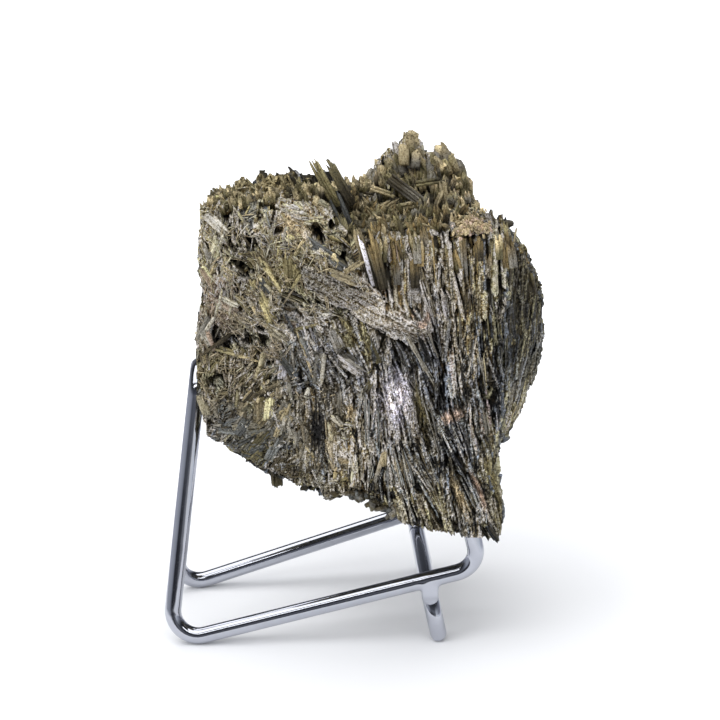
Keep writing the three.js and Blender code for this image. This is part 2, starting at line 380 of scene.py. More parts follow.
shape = bmesh.new()
draw_wire(shape, mirrored([BRACE_FOOT, (BRACE_X, BRACE_HALF_WIDTH, brace_top)]))
settle(shape)
brace_wire = object_of(shape, "brace_wire", chrome)
brace_wire.data.shade_smooth()
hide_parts("stand_brace")
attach(brace_wire, "root")

shape = bmesh.new()
widening = FRONT_BEND[1] - REAR_BEND[1]
across = widening / FRONT_BEND[0] * BRACE_X + REAR_BEND[1]
for side in (-1, 1):
    run = Vector((FRONT_BEND[0], side * widening, FRONT_BEND[2])).normalized()
    for axis, reach, place in (
            (run, 7, Vector((BRACE_X, side * across, base_slope * BRACE_X))),
            (Vector((0, 1, 0)), 5, Vector((BRACE_X, side * (across - 1.2), brace_top)))):
        facing = axis.to_track_quat("Z", "Y").to_matrix().to_4x4()
        bmesh.ops.create_cone(shape, cap_ends=True, segments=24, radius1=WELD_RADIUS,
                              radius2=WELD_RADIUS, depth=reach,
                              matrix=Matrix.Translation(place) @ facing)
    bmesh.ops.create_cube(shape, size=2 * WIRE_RADIUS, matrix=Matrix.Translation(
        (BRACE_X, side * across, (base_slope * BRACE_X + brace_top) / 2)))
settle(shape)
welds = object_of(shape, "welds", chrome)
for kind, settings in (("REMESH", {"mode": "VOXEL", "voxel_size": 0.25 * MM}),
                       ("SMOOTH", {"factor": 0.6, "iterations": 16})):
    modifier = welds.modifiers.new(kind.lower(), kind)
    for name, value in settings.items():
        setattr(modifier, name, value)
evaluated = welds.evaluated_get(bpy.context.evaluated_depsgraph_get())
baked = bpy.data.meshes.new_from_object(evaluated)
welds.modifiers.clear()
welds.data = baked
welds.data.shade_smooth()
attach(welds, "root")


# ---- Cluster body ----------------------------------------------------------------------------
# The intergrown mass that all the crystals stand on: dark, granular and fibrous, with open hollows
# between the blades. It is the solid's own shape, drawn in a little and roughened.
def to_mm(points):
    return (points - np.array(HOME)) / MM


def to_frame(points):
    return points * MM + np.array(HOME)


# Hollows in the front face: middle x and z, half width, half height, turn in degrees, depth.
HOLLOWS = [
    (14.7, 84.3, 1.0, 1.3, 0, 2.5), (15.8, 80.6, 0.5, 2.2, 15, 1.5),
    (18.7, 79.6, 1.6, 1.3, -20, 4.5), (17.8, 75.3, 1.8, 1.2, -35, 2.5),
    (23.7, 81.7, 0.6, 0.6, 0, 2), (27, 68.4, 1.4, 0.9, 0, 4.5), (26.5, 65.8, 1.2, 2.2, 10, 4.5),
    (12.5, 61.8, 0.9, 2.0, 15, 3.5), (15.6, 60.9, 0.9, 1.6, 0, 3.2),
    (17.9, 61.3, 0.7, 1.3, -20, 3.0), (20.5, 62.6, 1.0, 0.9, 0, 3.5),
    (20.4, 56.6, 2.2, 0.5, 10, 2.2), (12.1, 53.3, 1.6, 1.2, 0, 3.0), (20.3, 53.5, 1.1, 1.4, 0, 3.2),
    (17.4, 51, 0.5, 2.2, 45, 2.0), (28.6, 62.7, 1.2, 0.7, 20, 2.5), (31.3, 80, 0.9, 1.6, 15, 3.5),
    (35.8, 76.5, 0.7, 2.2, -25, 4.0), (35.6, 84.4, 0.8, 3.8, -28, 4.5),
    (37.6, 80.3, 0.7, 3.4, -28, 4.5), (35.8, 67.5, 0.7, 4.0, -52, 4.5),
    (30.3, 42.4, 1.2, 4.2, -2, 3.6), (27.6, 43.2, 0.5, 2.0, 0, 1.5),
    (38.5, 59.6, 1.7, 2.6, 35, 2.4), (27.6, 57.8, 0.4, 2.0, -15, 1.4),
    (54.5, 79.2, 0.5, 1.5, 0, 2.5), (59.4, 76.5, 0.6, 2.4, 0, 2.5), (62.4, 76.8, 0.6, 2.6, 0, 2.5),
    (68.3, 69.6, 1.0, 2.2, 0, 3.0), (71.3, 64.4, 0.6, 1.0, 0, 2.2), (69.9, 58.7, 0.5, 1.3, 0, 2.0),
    (53.5, 60, 0.5, 3.0, -10, 2.0), (50.5, 57.5, 0.6, 3.2, -24, 2.0),
    (54.6, 52.2, 1.2, 1.6, -10, 2.2), (46.0, 83.4, 1.3, 2.0, 15, 6.0),
    (52.6, 82.6, 1.0, 2.0, 25, 6.0),
]

# The same in the top face, in x and y.
TOP_HOLLOWS = [
    (46.2, 4, 2.2, 5, 0, 2.5), (53.2, 5, 1.7, 6, 0, 2.5), (38.4, 4, 1.2, 3, 10, 2),
    (30, 3, 2, 2, 0, 1.5), (22, 4, 2.4, 2, 0, 1.5),
]


# The rear ridge's outline in x and z: a broad peak, a gap, a slender spike and a long slope.
SKYLINE = [
    (36, 88), (38, 80), (41.5, 83.5), (43.2, 87.6), (45.8, 90.9), (47.8, 90.9), (49.5, 93.7),
    (50.9, 95), (51.8, 93.8), (53.2, 89.8), (55.3, 89.6), (56.2, 92.8), (58, 90.4), (60.8, 87),
    (61.2, 84.6), (61.9, 84.8), (63, 78.5), (66, 76),
]

# The same for the tips along the upper edge of the fan.
CREST = [
    (38.6, 81), (40.5, 80), (43.5, 83.6), (45.5, 81), (48.2, 82.2), (51, 83.8), (53.6, 81.4),
    (56, 81.6), (58, 80.4), (60, 80), (62.7, 81.2), (64, 82.2), (65.8, 82), (67, 80.4),
]


def skyline(x):
    """How high the rear ridge reaches at each x."""
    return np.interp(x, *zip(*SKYLINE))


def crest(x):
    """How high the tips along the upper edge of the fan reach at each x."""
    return np.interp(x, *zip(*CREST))


def in_hollow(hollows, spots, ragged=0.0):
    """How deep each spot lies in a face's hollows, in millimetres."""
    depth = np.zeros(len(spots))
    for middle_u, middle_v, half_width, half_height, turned, deepest in hollows:
        c, s = cos(radians(turned)), sin(radians(turned))
        over = ((spots[:, 0] - middle_u) * c + (spots[:, 1] - middle_v) * s) / half_width
        up = ((spots[:, 1] - middle_v) * c - (spots[:, 0] - middle_u) * s) / half_height
        inside = np.clip(1.4 - (over ** 2 + up ** 2) + ragged, 0, 1)
        depth = np.maximum(depth, deepest * np.minimum(1, inside * 1.5))
    return depth


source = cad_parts["epidote_cluster"]
shape = bmesh.new()
shape.from_mesh(source.data)
bmesh.ops.remove_doubles(shape, verts=shape.verts, dist=0.0001 * MM)
solid_tree = BVHTree.FromBMesh(shape)
rough, tree = new_material("cluster_rock")
cluster_body = object_of(shape, "cluster_body", rough)
modifier = cluster_body.modifiers.new("remesh", "REMESH")
modifier.mode = "VOXEL"
modifier.voxel_size = 0.55 * MM
modifier.use_smooth_shade = False
evaluated = cluster_body.evaluated_get(bpy.context.evaluated_depsgraph_get())
baked = bpy.data.meshes.new_from_object(evaluated)
cluster_body.modifiers.clear()
cluster_body.data = baked

count = len(baked.vertices)
places = np.empty(count * 3)
baked.vertices.foreach_get("co", places)
places = to_mm(places.reshape(-1, 3))
normals = np.empty(count * 3)
baked.vertices.foreach_get("normal", normals)
normals = normals.reshape(-1, 3)


def wander(points, size, seed):
    """Smooth noise, about -1 to 1, whose lumps are size millimetres across."""
    shift = Vector((seed, seed, seed))
    return np.array([noise.noise(Vector(point / size) + shift) for point in points])


def hold_under(axis, where, most):
    """Keeps the body's chosen places under a limit along one axis."""
    places[:, axis] = np.where(where, np.minimum(places[:, axis], most), places[:, axis])


# The body stays a little inside the solid, and deeper on the two flanks, under their thicker crusts.
fibres = wander(places * (1, 1, 0.25), 0.8, 3)
lumps = wander(places, 3.5, 9)
on_flanks = np.clip(2 * np.abs(normals[:, 0]) - 1, 0, 1)
inset = 1.2 + 0.4 * fibres + 0.5 * lumps + 0.8 * on_flanks
places -= normals * inset[:, None]
places[:, 1] += in_hollow(HOLLOWS, places[:, [0, 2]]) * np.clip(-normals[:, 1] * 2, 0, 1)
places[:, 2] -= in_hollow(TOP_HOLLOWS, places[:, :2]) * np.clip(normals[:, 2] * 2, 0, 1)

# The ridge ends under its skyline. The gap beside it and its rear shoulder are cut away.
on_ridge = (places[:, 0] > 41.5) & (places[:, 0] < 66) & (places[:, 1] > 6)
too_high = on_ridge & (places[:, 2] > skyline(places[:, 0]) + 0.2)
places[:, 1] = np.where(too_high, np.clip(places[:, 1], 7, 13.5), places[:, 1])
hold_under(2, on_ridge, skyline(places[:, 0]) - 0.4)
behind_gap = (places[:, 0] > 34) & (places[:, 0] < 42) & (places[:, 1] > 5)
hold_under(2, behind_gap, 83)
hold_under(1, behind_gap & (places[:, 2] > 79), 17)
at_shoulder = (places[:, 0] > 55) & (places[:, 1] > 12) & (places[:, 2] > 74)
hold_under(0, at_shoulder, 60.5)
hold_under(1, at_shoulder, 16.5)
beside_gap = (places[:, 0] > 28) & (places[:, 0] < 41)
hold_under(2, beside_gap, 86.5)
baked.vertices.foreach_set("co", to_frame(places).ravel())
baked.update()

NEAR_BLACK, BROWN = (0.006, 0.005, 0.004, 1), (0.10, 0.085, 0.05, 1)
flecks = tree.node("ShaderNodeTexCoord", out=3).stretch((1, 1, 0.4)).noise(3200, 4, 0.7)
finish_with(tree, {
    "Base Color": (flecks * 2.5 - 0.8).clamp().blend(NEAR_BLACK, BROWN),
    "Roughness": 0.6 + 0.2 * flecks,
})
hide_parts("epidote_cluster")
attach(cluster_body, "root")


# ---- Fibrous front crust ---------------------------------------------------------------------
# The front face is a continuous crust of intergrown fibres: combed along the fibres' own direction,
# stepped into splinters, with stacks of short laths turned all ways on the left and open hollows.
def blurred(grid, times):
    """The grid with every node averaged with its neighbours, a number of times."""
    for _ in range(times):
        grid = sum(np.roll(grid, shift, axis) for axis in (0, 1) for shift in (1, -1, 0, 0)) / 8
    return grid


class Side:
    """One side of the cluster: a grid of heights along out, over two axes u and v, in millimetres.

    Slots narrower than twice the bridged steps are closed.
    """

    def __init__(self, u, v, out, low, high, bridged=0):
        self.u, self.v, self.out = (np.array(axis, float) for axis in (u, v, out))
        self.low, self.high = np.array(low, float), np.array(high, float)
        self.step = step = 0.5
        shape = ((self.high - self.low) / step).astype(int) + 1
        heights = np.full(shape, np.nan)
        for i in range(shape[0]):
            for j in range(shape[1]):
                spot = (self.low[0] + i * step) * self.u + (self.low[1] + j * step) * self.v
                start = Vector(to_frame(spot + self.out * 200))
                hit = solid_tree.ray_cast(start, Vector(-self.out))[0]
                if hit is not None:
                    heights[i, j] = to_mm(np.array(hit)) @ self.out
        covered = ~np.isnan(heights)
        for _ in range(16):
            near = np.stack([np.roll(heights, shift, axis) for axis in (0, 1) for shift in (1, -1)])
            known = ~np.isnan(near)
            mean = np.where(known, near, 0).sum(0) / np.maximum(known.sum(0), 1)
            heights = np.where(np.isnan(heights) & (known.sum(0) > 0), mean, heights)
        heights = np.nan_to_num(heights, nan=np.nanmin(heights))
        for sign in (1, -1):
            for _ in range(bridged):
                near = [np.roll(heights, shift, axis) for axis in (0, 1) for shift in (1, -1)]
                heights = sign * np.max(sign * np.stack([heights, *near]), axis=0)
        self.heights = blurred(heights, 3)
        slope = np.stack(np.gradient(self.heights, step))
        self.facing = covered / np.sqrt(1 + (slope ** 2).sum(0))

    def read(self, grid, spots):
        """The grid's value at each spot, between its four nearest nodes."""
        place = np.clip((spots - self.low) / self.step, 0, np.array(grid.shape[:2]) - 1.001)
        i, j = place.astype(int).T
        a, b = (place - np.stack([i, j], 1)).T
        if grid.ndim == 3:
            a, b = a[:, None], b[:, None]
        return (grid[i, j] * (1 - a) * (1 - b) + grid[i + 1, j] * a * (1 - b)
                + grid[i, j + 1] * (1 - a) * b + grid[i + 1, j + 1] * a * b)

    def lift(self, spots, height=0.0):
        """The places at a height over the surface, for spots on the two axes."""
        total = self.read(self.heights, spots) + height
        return spots[:, :1] * self.u + spots[:, 1:] * self.v + total[:, None] * self.out

    def refine(self, step):
        """Takes a finer grid of the same heights."""
        shape = ((self.high - self.low) / step).astype(int) + 1
        u, v = np.meshgrid(*(self.low[k] + np.arange(shape[k]) * step for k in (0, 1)), indexing="ij")
        self.spots = np.stack([u.ravel(), v.ravel()], 1)
        heights, facing = (self.read(grid, self.spots) for grid in (self.heights, self.facing))
        self.heights, self.facing, self.step = heights.reshape(shape), facing.reshape(shape), step


def is_inside(spots, outline):
    """Whether each spot lies in a closed outline."""
    outline = np.array(outline, float)
    result = np.zeros(len(spots), bool)
    for (x0, y0), (x1, y1) in zip(outline, np.roll(outline, -1, axis=0)):
        crosses = (y0 > spots[:, 1]) != (y1 > spots[:, 1])
        with np.errstate(divide="ignore", invalid="ignore"):
            result ^= crosses & (spots[:, 0] < (x1 - x0) * (spots[:, 1] - y0) / (y1 - y0) + x0)
    return result


def scatter(rng, outline, count):
    """Random spots in an outline."""
    outline = np.array(outline, float)
    spots = np.zeros((0, 2))
    while len(spots) < count:
        tried = rng.uniform(outline.min(0), outline.max(0), (count * 3, 2))
        spots = np.concatenate([spots, tried[is_inside(tried, outline)]])
    return spots[:count]


def even(grid):
    """The grid with a mean of 0 and a spread of 1."""
    return (grid - grid.mean()) / grid.std()


def combed(rng, lean, blur, reach):
    """Random streaks that follow the fibres: noise blurred a little, then averaged along the lean."""
    source = even(blurred(rng.normal(0, 1, lean.shape), blur))
    total = source.copy()
    rows, columns = np.meshgrid(*(np.arange(n, dtype=float) for n in lean.shape), indexing="ij")
    for sign in (1, -1):
        i, j = rows.copy(), columns.copy()
        last_i, last_j = -np.sin(lean) * sign, np.cos(lean) * sign
        for _ in range(reach):
            at_i = np.clip(np.rint(i).astype(int), 0, lean.shape[0] - 1)
            at_j = np.clip(np.rint(j).astype(int), 0, lean.shape[1] - 1)
            angle = lean[at_i, at_j]
            step_i, step_j = -np.sin(angle), np.cos(angle)
            same = np.where(step_i * last_i + step_j * last_j < 0, -1.0, 1.0)
            last_i, last_j = step_i * same, step_j * same
            i, j = i + last_i, j + last_j
            total += source[at_i, at_j]
    return even(total)


def terraced(grid, steps):
    """The grid with its slopes gathered into steps."""
    scaled = grid * steps
    whole = np.floor(scaled)
    part = np.clip(4 * (scaled - whole - 0.5) + 0.5, 0, 1)
    return (whole + part * part * (3 - 2 * part)) / steps


# The minerals' colours, fresh and weathered.
TONES = {
    "black": (0.010, 0.010, 0.010),
    "umber": (0.042, 0.036, 0.022),
    "slate": (0.073, 0.080, 0.081),
    "grey": (0.17, 0.168, 0.150),
    "silver": (0.34, 0.345, 0.385),
    "olive": (0.098, 0.088, 0.043),
    "moss": (0.156, 0.143, 0.077),
    "gold": (0.205, 0.160, 0.075),
    "straw": (0.335, 0.295, 0.185),
    "buff": (0.43, 0.37, 0.245),
    "rose": (0.42, 0.335, 0.285),
    # The last two are painted highlights: pale colours standing for glossy faces that mirror the
    # lights.
    "pearl": (0.55, 0.56, 0.68),
    "glint": (0.86, 0.88, 1.0),
}

# Lean of the fibres over the front face: x, z and degrees from upright, leaning left at the top.
LEANS = np.array([
    (37, 33, -8), (37, 45, -4), (41, 40, 0), (44, 50, 6), (44, 60, 12), (43, 70, 12), (46, 76, 9),
    (46, 32, 12), (48, 40, 16), (50, 50, 22), (50, 58, 24), (51, 66, 10), (52, 78, 4), (53, 32, 20),
    (54, 44, 19), (55, 52, 4), (56, 62, 2), (57, 74, 3), (58, 30, 20), (59, 42, 13), (60, 54, 4),
    (61, 66, 2), (62, 78, 1), (63, 28, 6), (63, 40, 6), (64.5, 56, 2), (65, 70, 0), (66, 78, -2),
    (68, 42, -18), (71, 52, -14), (73, 60, -6), (70, 66, -4), (68, 74, 2), (26, 60, 18),
    (29, 55, 20), (32, 60, 28), (34, 64, 30), (27, 48, 6), (31, 48, 4), (34, 42, 0), (34, 34, -2),
    (29, 38, 2), (29, 33, 12), (22, 40, -42), (18, 43, -48), (13, 45, -50), (20, 37, -40),
    (24, 33, -10), (12, 86, 4), (13, 78, 2), (20, 84, -20), (28, 84, 30), (18, 77, 45), (24, 75, 0),
    (27, 72, 6), (31, 77, 55), (35, 76, 50), (35, 84, 28), (13, 70, 10), (20, 68, 40), (25, 66, 45),
    (33, 67, 52), (13, 62, 20), (20, 61, 65), (14, 56, -30), (20, 55, -45), (12, 50, 10),
    (20, 49, -20), (24, 58, 25), (46, 90, 10), (50, 90, 2), (56, 88, 12), (61, 83, 18),
])

# Main colours over the front face: x, z and the tones that its streaks are drawn from.
GROUND = [
    (14, 86, "moss straw buff"), (22, 86, "moss straw slate"), (29, 84, "buff straw rose"),
    (12, 78, "moss grey straw"), (18, 78, "moss umber straw"), (25, 78, "straw moss grey"),
    (33, 82, "olive moss straw"), (13, 70, "rose grey moss"), (20, 70, "grey moss slate"),
    (27, 73, "olive moss umber"), (13, 63, "umber grey rose"), (20, 65, "grey moss straw"),
    (12, 55, "olive moss umber"), (20, 58, "olive umber grey"), (19, 50, "umber olive straw"),
    (22, 46, "straw grey umber"), (14, 45, "grey slate umber"), (20, 40, "olive slate grey"),
    (25, 35, "umber grey olive"), (26, 55, "slate grey silver"), (29, 61, "grey silver slate"),
    (30, 50, "grey umber buff"), (28, 44, "umber grey buff"), (34, 55, "grey silver umber"),
    (33, 37, "slate umber buff"), (36, 42, "buff umber grey"), (36, 34, "buff umber olive"),
    (38, 62, "olive grey umber"), (41, 57, "silver grey slate"), (41, 45, "slate silver grey"),
    (42, 36, "slate grey black"), (45, 50, "silver grey slate"), (46, 66, "grey rose umber"),
    (45, 76, "umber rose grey"), (48, 71, "gold umber grey"), (51, 74, "umber grey gold"),
    (53, 66, "grey silver umber"), (50, 56, "black slate grey"), (50, 46, "umber grey slate"),
    (54, 56, "grey rose umber"), (55, 51, "slate black grey"), (54, 42, "slate black grey"),
    (48, 34, "slate umber grey"), (54, 34, "slate umber grey"), (58, 38, "slate grey black"),
    (60, 45, "slate grey rose"), (60, 55, "grey buff slate"), (58, 66, "umber gold grey"),
    (60, 76, "gold umber slate"), (64, 74, "moss slate black"), (64, 62, "black moss slate"),
    (64.5, 50, "slate black moss"), (62.5, 36, "umber olive grey"), (60, 27, "umber grey slate"),
    (50, 27, "umber olive grey"), (41, 30, "umber olive slate"), (45, 86, "moss straw grey"),
    (50, 90, "grey moss straw"), (57, 88, "moss grey straw"), (60, 83, "buff moss grey"),
    (69, 72, "umber olive slate"), (72, 64, "olive umber grey"), (70, 55, "moss slate umber"),
    (73.5, 55, "grey slate moss"), (68, 44, "grey moss slate"), (66, 38, "straw moss grey"),
]

# Patches of one colour over the front face: x, z, half width, half height, turn and tone.
# The three patches round x 45, z 50 are a painted highlight of a glossy spot.
PATCHES = [
    (45.1, 49.5, 3.0, 4.6, 5, "silver"), (45.2, 50, 2.4, 3.6, 5, "pearl"),
    (45.3, 50.4, 1.5, 2.4, 5, "glint"), (49.4, 47.5, 1.0, 4.6, 14, "olive"),
    (54.6, 46.6, 1.7, 0.9, 20, "rose"), (56, 31.5, 0.5, 4, 20, "buff"),
    (59.5, 32.5, 0.4, 3, 20, "rose"), (45.5, 37.4, 1.2, 1.2, 10, "buff"),
    (62.6, 33, 0.9, 8, 6, "moss"), (36, 47.2, 1.2, 1.3, 0, "buff"), (33, 43, 0.5, 1.8, 0, "buff"),
    (34.4, 46, 1.1, 3, 0, "umber"), (13, 68.5, 1.6, 3, 0, "rose"), (50.4, 65, 1.4, 0.7, 30, "rose"),
    (28, 82.5, 3.4, 1.8, 0, "buff"), (19.4, 84.5, 1.4, 2, 0, "slate"),
    # The black patch at x 30, z 43 lies over a deep hollow: painted shade.
    (30, 43, 1.3, 4.3, 0, "black"), (52.5, 50, 0.8, 2.4, -10, "black"),
]

# How much lighter or darker the front face is coloured in places, partly its own tone and partly
# painted
# light and shade: x, z and one of six steps of lightness.
LIGHTNESS = {"shaded": 0.8, "plain": 1.15, "fair": 1.6, "pale": 1.95, "bright": 2.75, "white": 5.3}
TONE_AND_PAINTED_LIGHT = [
    (55, 68, "fair"), (53.5, 52.5, "fair"), (55, 34, "pale"), (63, 58, "plain"), (70, 56, "shaded"),
    (20, 42.5, "plain"), (18.5, 55.5, "fair"), (18.5, 70, "fair"), (21, 83, "pale"),
    (40.5, 68.5, "bright"), (33, 74, "fair"), (47, 65, "plain"), (32.5, 40.5, "pale"),
    (34, 55.5, "shaded"), (51, 88, "white"), (57, 27, "bright"), (44, 30, "bright"),
    (45, 46, "bright"),
]

# Outlines of the front face's parts, in x and z.
LEFT = [
    (10.2, 87), (17.8, 89), (25, 88.5), (30, 87), (34.3, 85), (37.6, 81), (38.4, 74.4),
    (42.3, 69.0), (33.3, 64.9), (25.8, 62.9), (26.8, 53.1), (20.3, 54.0), (14.3, 51.0), (8.4, 44),
    (8.0, 55.0), (8.4, 62.8), (9, 66.4), (10.4, 68.6), (9.9, 71.5), (9.2, 77.9),
]
LOWER_LEFT = [
    (9.0, 46.6), (14.2, 51.2), (20.3, 54.2), (26.8, 53.4), (26, 49.1), (25.4, 33.6), (22.4, 34.2),
    (19.5, 35.4), (15.5, 37.8), (12.2, 40.4), (9.2, 40.4),
]
MIDDLE = [
    (25.8, 62.9), (33.3, 64.9), (43, 62.4), (40.5, 55.8), (38.6, 49.7), (36.8, 41.3), (37.2, 32.0),
    (32.1, 29.2), (30, 31.6), (26.6, 31.6), (22.8, 34.4), (25.2, 45.2), (26.3, 53.1),
]
FAN = [
    (43.2, 69.1), (41.6, 81.5), (46.6, 82.8), (52.1, 83.6), (57.6, 83.2), (63.2, 83.4),
    (66.5, 82.4), (66.4, 67.2), (65.4, 52.7), (64.2, 41.7), (63.9, 30.4), (63.6, 23.8),
    (57.7, 23.6), (52.2, 24.6), (44.8, 27.0), (40.5, 29.0), (36.9, 32.0), (36.6, 41.3),
    (38.6, 49.7), (40.5, 55.8), (43.1, 61.9),
]


def near_weights(spots, places, power=3, soft=2):
    """How much each of some places counts at each spot."""
    apart = np.linalg.norm(spots[:, None] - places[None], axis=2)
    weight = 1 / (apart ** power + soft)
    return weight / weight.sum(1, keepdims=True)


def lean_at(spots):
    """Lean in radians at each spot, from the given places nearest to it."""
    return np.radians(near_weights(spots, LEANS[:, :2]) @ LEANS[:, 2])


def lightness_at(spots):
    """How much lighter or darker than its ground the front face is at each spot: partly painted light
    and shade.
    """
    places = np.array([(x, z) for x, z, _ in TONE_AND_PAINTED_LIGHT])
    factors = np.array([LIGHTNESS[step] for _, _, step in TONE_AND_PAINTED_LIGHT])
    return (near_weights(spots, places) @ factors)[:, None]


def ground_tone(spots, picks):
    """The ground colour at spots; picks, about -1 to 1, choose among the three tones of each place."""
    places = np.array([(x, z) for x, z, _ in GROUND], float)
    palettes = np.array([[TONES[name] for name in names.split()] for _, _, names in GROUND])
    weight = near_weights(spots, places, 4, 0.5)
    first, second, third = (np.exp(weight @ np.log(palettes[:, k])) for k in range(3))
    to_second = np.clip((picks[:, None] - 0.1) * 3, 0, 1)
    to_third = np.clip((-picks[:, None] - 0.5) * 3, 0, 1)
    return first * (1 - to_second) * (1 - to_third) + second * to_second + third * to_third


def thread_tone(spots, picks):
    """The paler colour of the thin threads over the ground."""
    return 0.6 * ground_tone(spots, picks) + (0.14, 0.123, 0.093)


def upper_thread_tone(spots, picks):
    """The threads' colour in the upper half of the fan, and black below it."""
    return thread_tone(spots, picks) * (spots[:, 1:] > 62)


def patch_weight(spots, patch, edge):
    """How far each spot is inside a patch, 0 to 1. The edge value shifts its outline."""
    middle_x, middle_z, half_width, half_height, turned = patch[:5]
    c, s = cos(radians(turned)), sin(radians(turned))
    over = ((spots[:, 0] - middle_x) * c + (spots[:, 1] - middle_z) * s) / half_width
    up = ((spots[:, 1] - middle_z) * c - (spots[:, 0] - middle_x) * s) / half_height
    return np.clip(1.5 - np.sqrt(over ** 2 + up ** 2) + edge, 0, 1)


class Crust:
    """A side's relief while it is being built: its lean at every node, and later its rise and tone."""

    def __init__(self, side, lean):
        self.side = side
        self.shape = side.heights.shape
        self.lean = lean

    def stamp(self, spot, angle, length, width, low, tilt, roof, colour, crown=None):
        """Lays one lath on the relief where it stands higher than what is there.

        A crown is the colour that the lath's upper end turns to.
        """
        reach = (length / 2 + width) / self.side.step
        i0, j0 = (spot - self.side.low) / self.side.step
        i = np.arange(max(0, int(i0 - reach)), min(self.shape[0], int(i0 + reach) + 2))
        j = np.arange(max(0, int(j0 - reach)), min(self.shape[1], int(j0 + reach) + 2))
        if not len(i) or not len(j):
            return
        du, dv = np.meshgrid((i - i0) * self.side.step, (j - j0) * self.side.step, indexing="ij")
        along = -du * sin(angle) + dv * cos(angle)
        over = np.abs(du * cos(angle) + dv * sin(angle)) / (width / 2)
        end = np.abs(along) / (length / 2) + (0.12 if crown is None else 1.2 / length) * over
        height = low + tilt * along - roof * width * over
        window = (slice(i[0], i[-1] + 1), slice(j[0], j[-1] + 1))
        better = (over < 1) & (end < 1) & (height > self.rise[window])
        self.rise[window][better] = height[better]
        self.lean[window][better] = angle
        self.tone[window][better] = colour
        if crown is not None:
            to_crown = np.clip((along - length / 2) / 3 + 1, 0, 1)[better][:, None]
            self.tone[window][better] += (crown - colour) * to_crown

    def mesh(self, name, mask):
        """A closed slab under the masked part of the relief. It ends where the side drops steeply."""
        n, m = self.shape
        keep = mask[:-1, :-1] & mask[1:, :-1] & mask[:-1, 1:] & mask[1:, 1:]
        high = self.side.heights
        drop = np.ptp([high[:-1, :-1], high[1:, :-1], high[:-1, 1:], high[1:, 1:]], axis=0)
        keep &= drop < 4 * self.side.step
        for _ in range(40):
            a, b, c, d = keep[:-1, :-1], keep[1:, :-1], keep[:-1, 1:], keep[1:, 1:]
            corner = (a & d & ~b & ~c) | (b & c & ~a & ~d)
            if not corner.any():
                break
            keep[:-1, :-1] |= corner
            keep[1:, 1:] |= corner
            keep[1:, :-1] |= corner
            keep[:-1, 1:] |= corner
        sheet = bmesh.new()
        bmesh.ops.create_grid(sheet, x_segments=n - 1, y_segments=m - 1, size=0.5)
        outside = []
        for face in sheet.faces:
            middle = face.calc_center_median()
            if not keep[int((middle.x + 0.5) * (n - 1)), int((middle.y + 0.5) * (m - 1))]:
                outside.append(face)
        bmesh.ops.delete(sheet, geom=outside, context="FACES")
        rim = [edge for edge in sheet.edges if edge.is_boundary]
        made = bmesh.ops.extrude_edge_only(sheet, edges=rim)["geom"]
        lower = [item for item in made if isinstance(item, bmesh.types.BMVert)]
        bmesh.ops.translate(sheet, vec=(0, 0, -1), verts=lower)
        bmesh.ops.holes_fill(sheet, edges=[edge for edge in sheet.edges if edge.is_boundary])
        bmesh.ops.recalc_face_normals(sheet, faces=sheet.faces)
        mesh = bpy.data.meshes.new(name)
        sheet.to_mesh(mesh)
        sheet.free()
        count = len(mesh.vertices)
        flat = np.empty(count * 3)
        mesh.vertices.foreach_get("co", flat)
        flat = flat.reshape(-1, 3)
        spots = self.side.low + (flat[:, :2] + 0.5) * np.array([n - 1, m - 1]) * self.side.step
        below = flat[:, 2] < -0.5
        rise = self.side.read(self.rise, spots)
        places = self.side.lift(spots, np.where(below, np.minimum(-1.5, rise - 0.6), rise))
        inward = (spots.mean(0) - spots) * 0.08 * below[:, None]
        places += inward[:, :1] * self.side.u + inward[:, 1:] * self.side.v
        mesh.vertices.foreach_set("co", to_frame(places).ravel())
        tones = np.concatenate([self.side.read(self.tone, spots), np.ones((count, 1))], 1)
        tone_of = mesh.attributes.new("tone", "FLOAT_COLOR", "POINT")
        tone_of.data.foreach_set("color", tones.ravel().astype(np.float32))
        mesh.update()
        return mesh


RIB_LEAN = radians(60)
RIB_GREY = (0.27, 0.26, 0.225)
RIB = [
    (28, 75.4), (32.6, 74.4), (37, 72.3), (41.3, 70.4), (50.3, 65.6), (52, 63), (48.8, 60.8),
    (43.6, 62.4), (38.4, 65.4), (33, 68.6), (29, 71.2),
]
RIDGE = [
    (41.5, 80), (42.6, 85.5), (44.6, 91), (48.6, 94), (52, 94), (53.4, 90), (55.2, 90),
    (56.3, 92.8), (58, 91), (61.4, 85), (64.5, 78.5), (60, 82.4), (54, 82.6), (48, 82),
]
LENS = [
    (66.2, 79.5), (69, 77), (72.4, 72), (73.8, 66), (75.5, 60), (75.5, 53), (73.6, 45.5),
    (70.6, 40), (67.2, 37.6), (65, 38), (65.2, 45), (66.2, 60),
]


def stack(rng, crust, outline, count, laths, breadth, length, width, rise, tilt, tone_of,
          turn=None, sway=0.12):
    """Stamps small stacks of parallel laths over an outline. Ranges are (least, most).

    The laths follow the lean that turn gives, swayed a little, or lie all ways without it.
    """
    for middle in scatter(rng, outline, count):
        if turn is None:
            angle = rng.uniform(-pi / 2, pi / 2)
        else:
            angle = turn(middle[None])[0] + rng.normal(0, sway)
        low, slope = rng.uniform(*rise), rng.normal(0, tilt)
        spread = rng.uniform(*breadth)
        base = tone_of(middle[None], rng.uniform(-1, 1, 1))[0]
        for _ in range(rng.poisson(laths) + 1):
            off = rng.uniform(-spread, spread) / 2
            spot = middle + off * np.array([cos(angle), sin(angle)]) + rng.normal(0, 0.4, 2)
            colour = base if rng.uniform() > 0.5 else tone_of(spot[None], rng.uniform(-1, 1, 1))[0]
            turned, long, wide = angle + rng.normal(0, 0.05), rng.uniform(*length), rng.uniform(*width)
            height, shade = low + rng.normal(0, 0.12), exp(min(rng.normal(0, 0.5), 0.35))
            crust.stamp(spot, turned, long, wide, height, slope, 0.18, colour * shade)


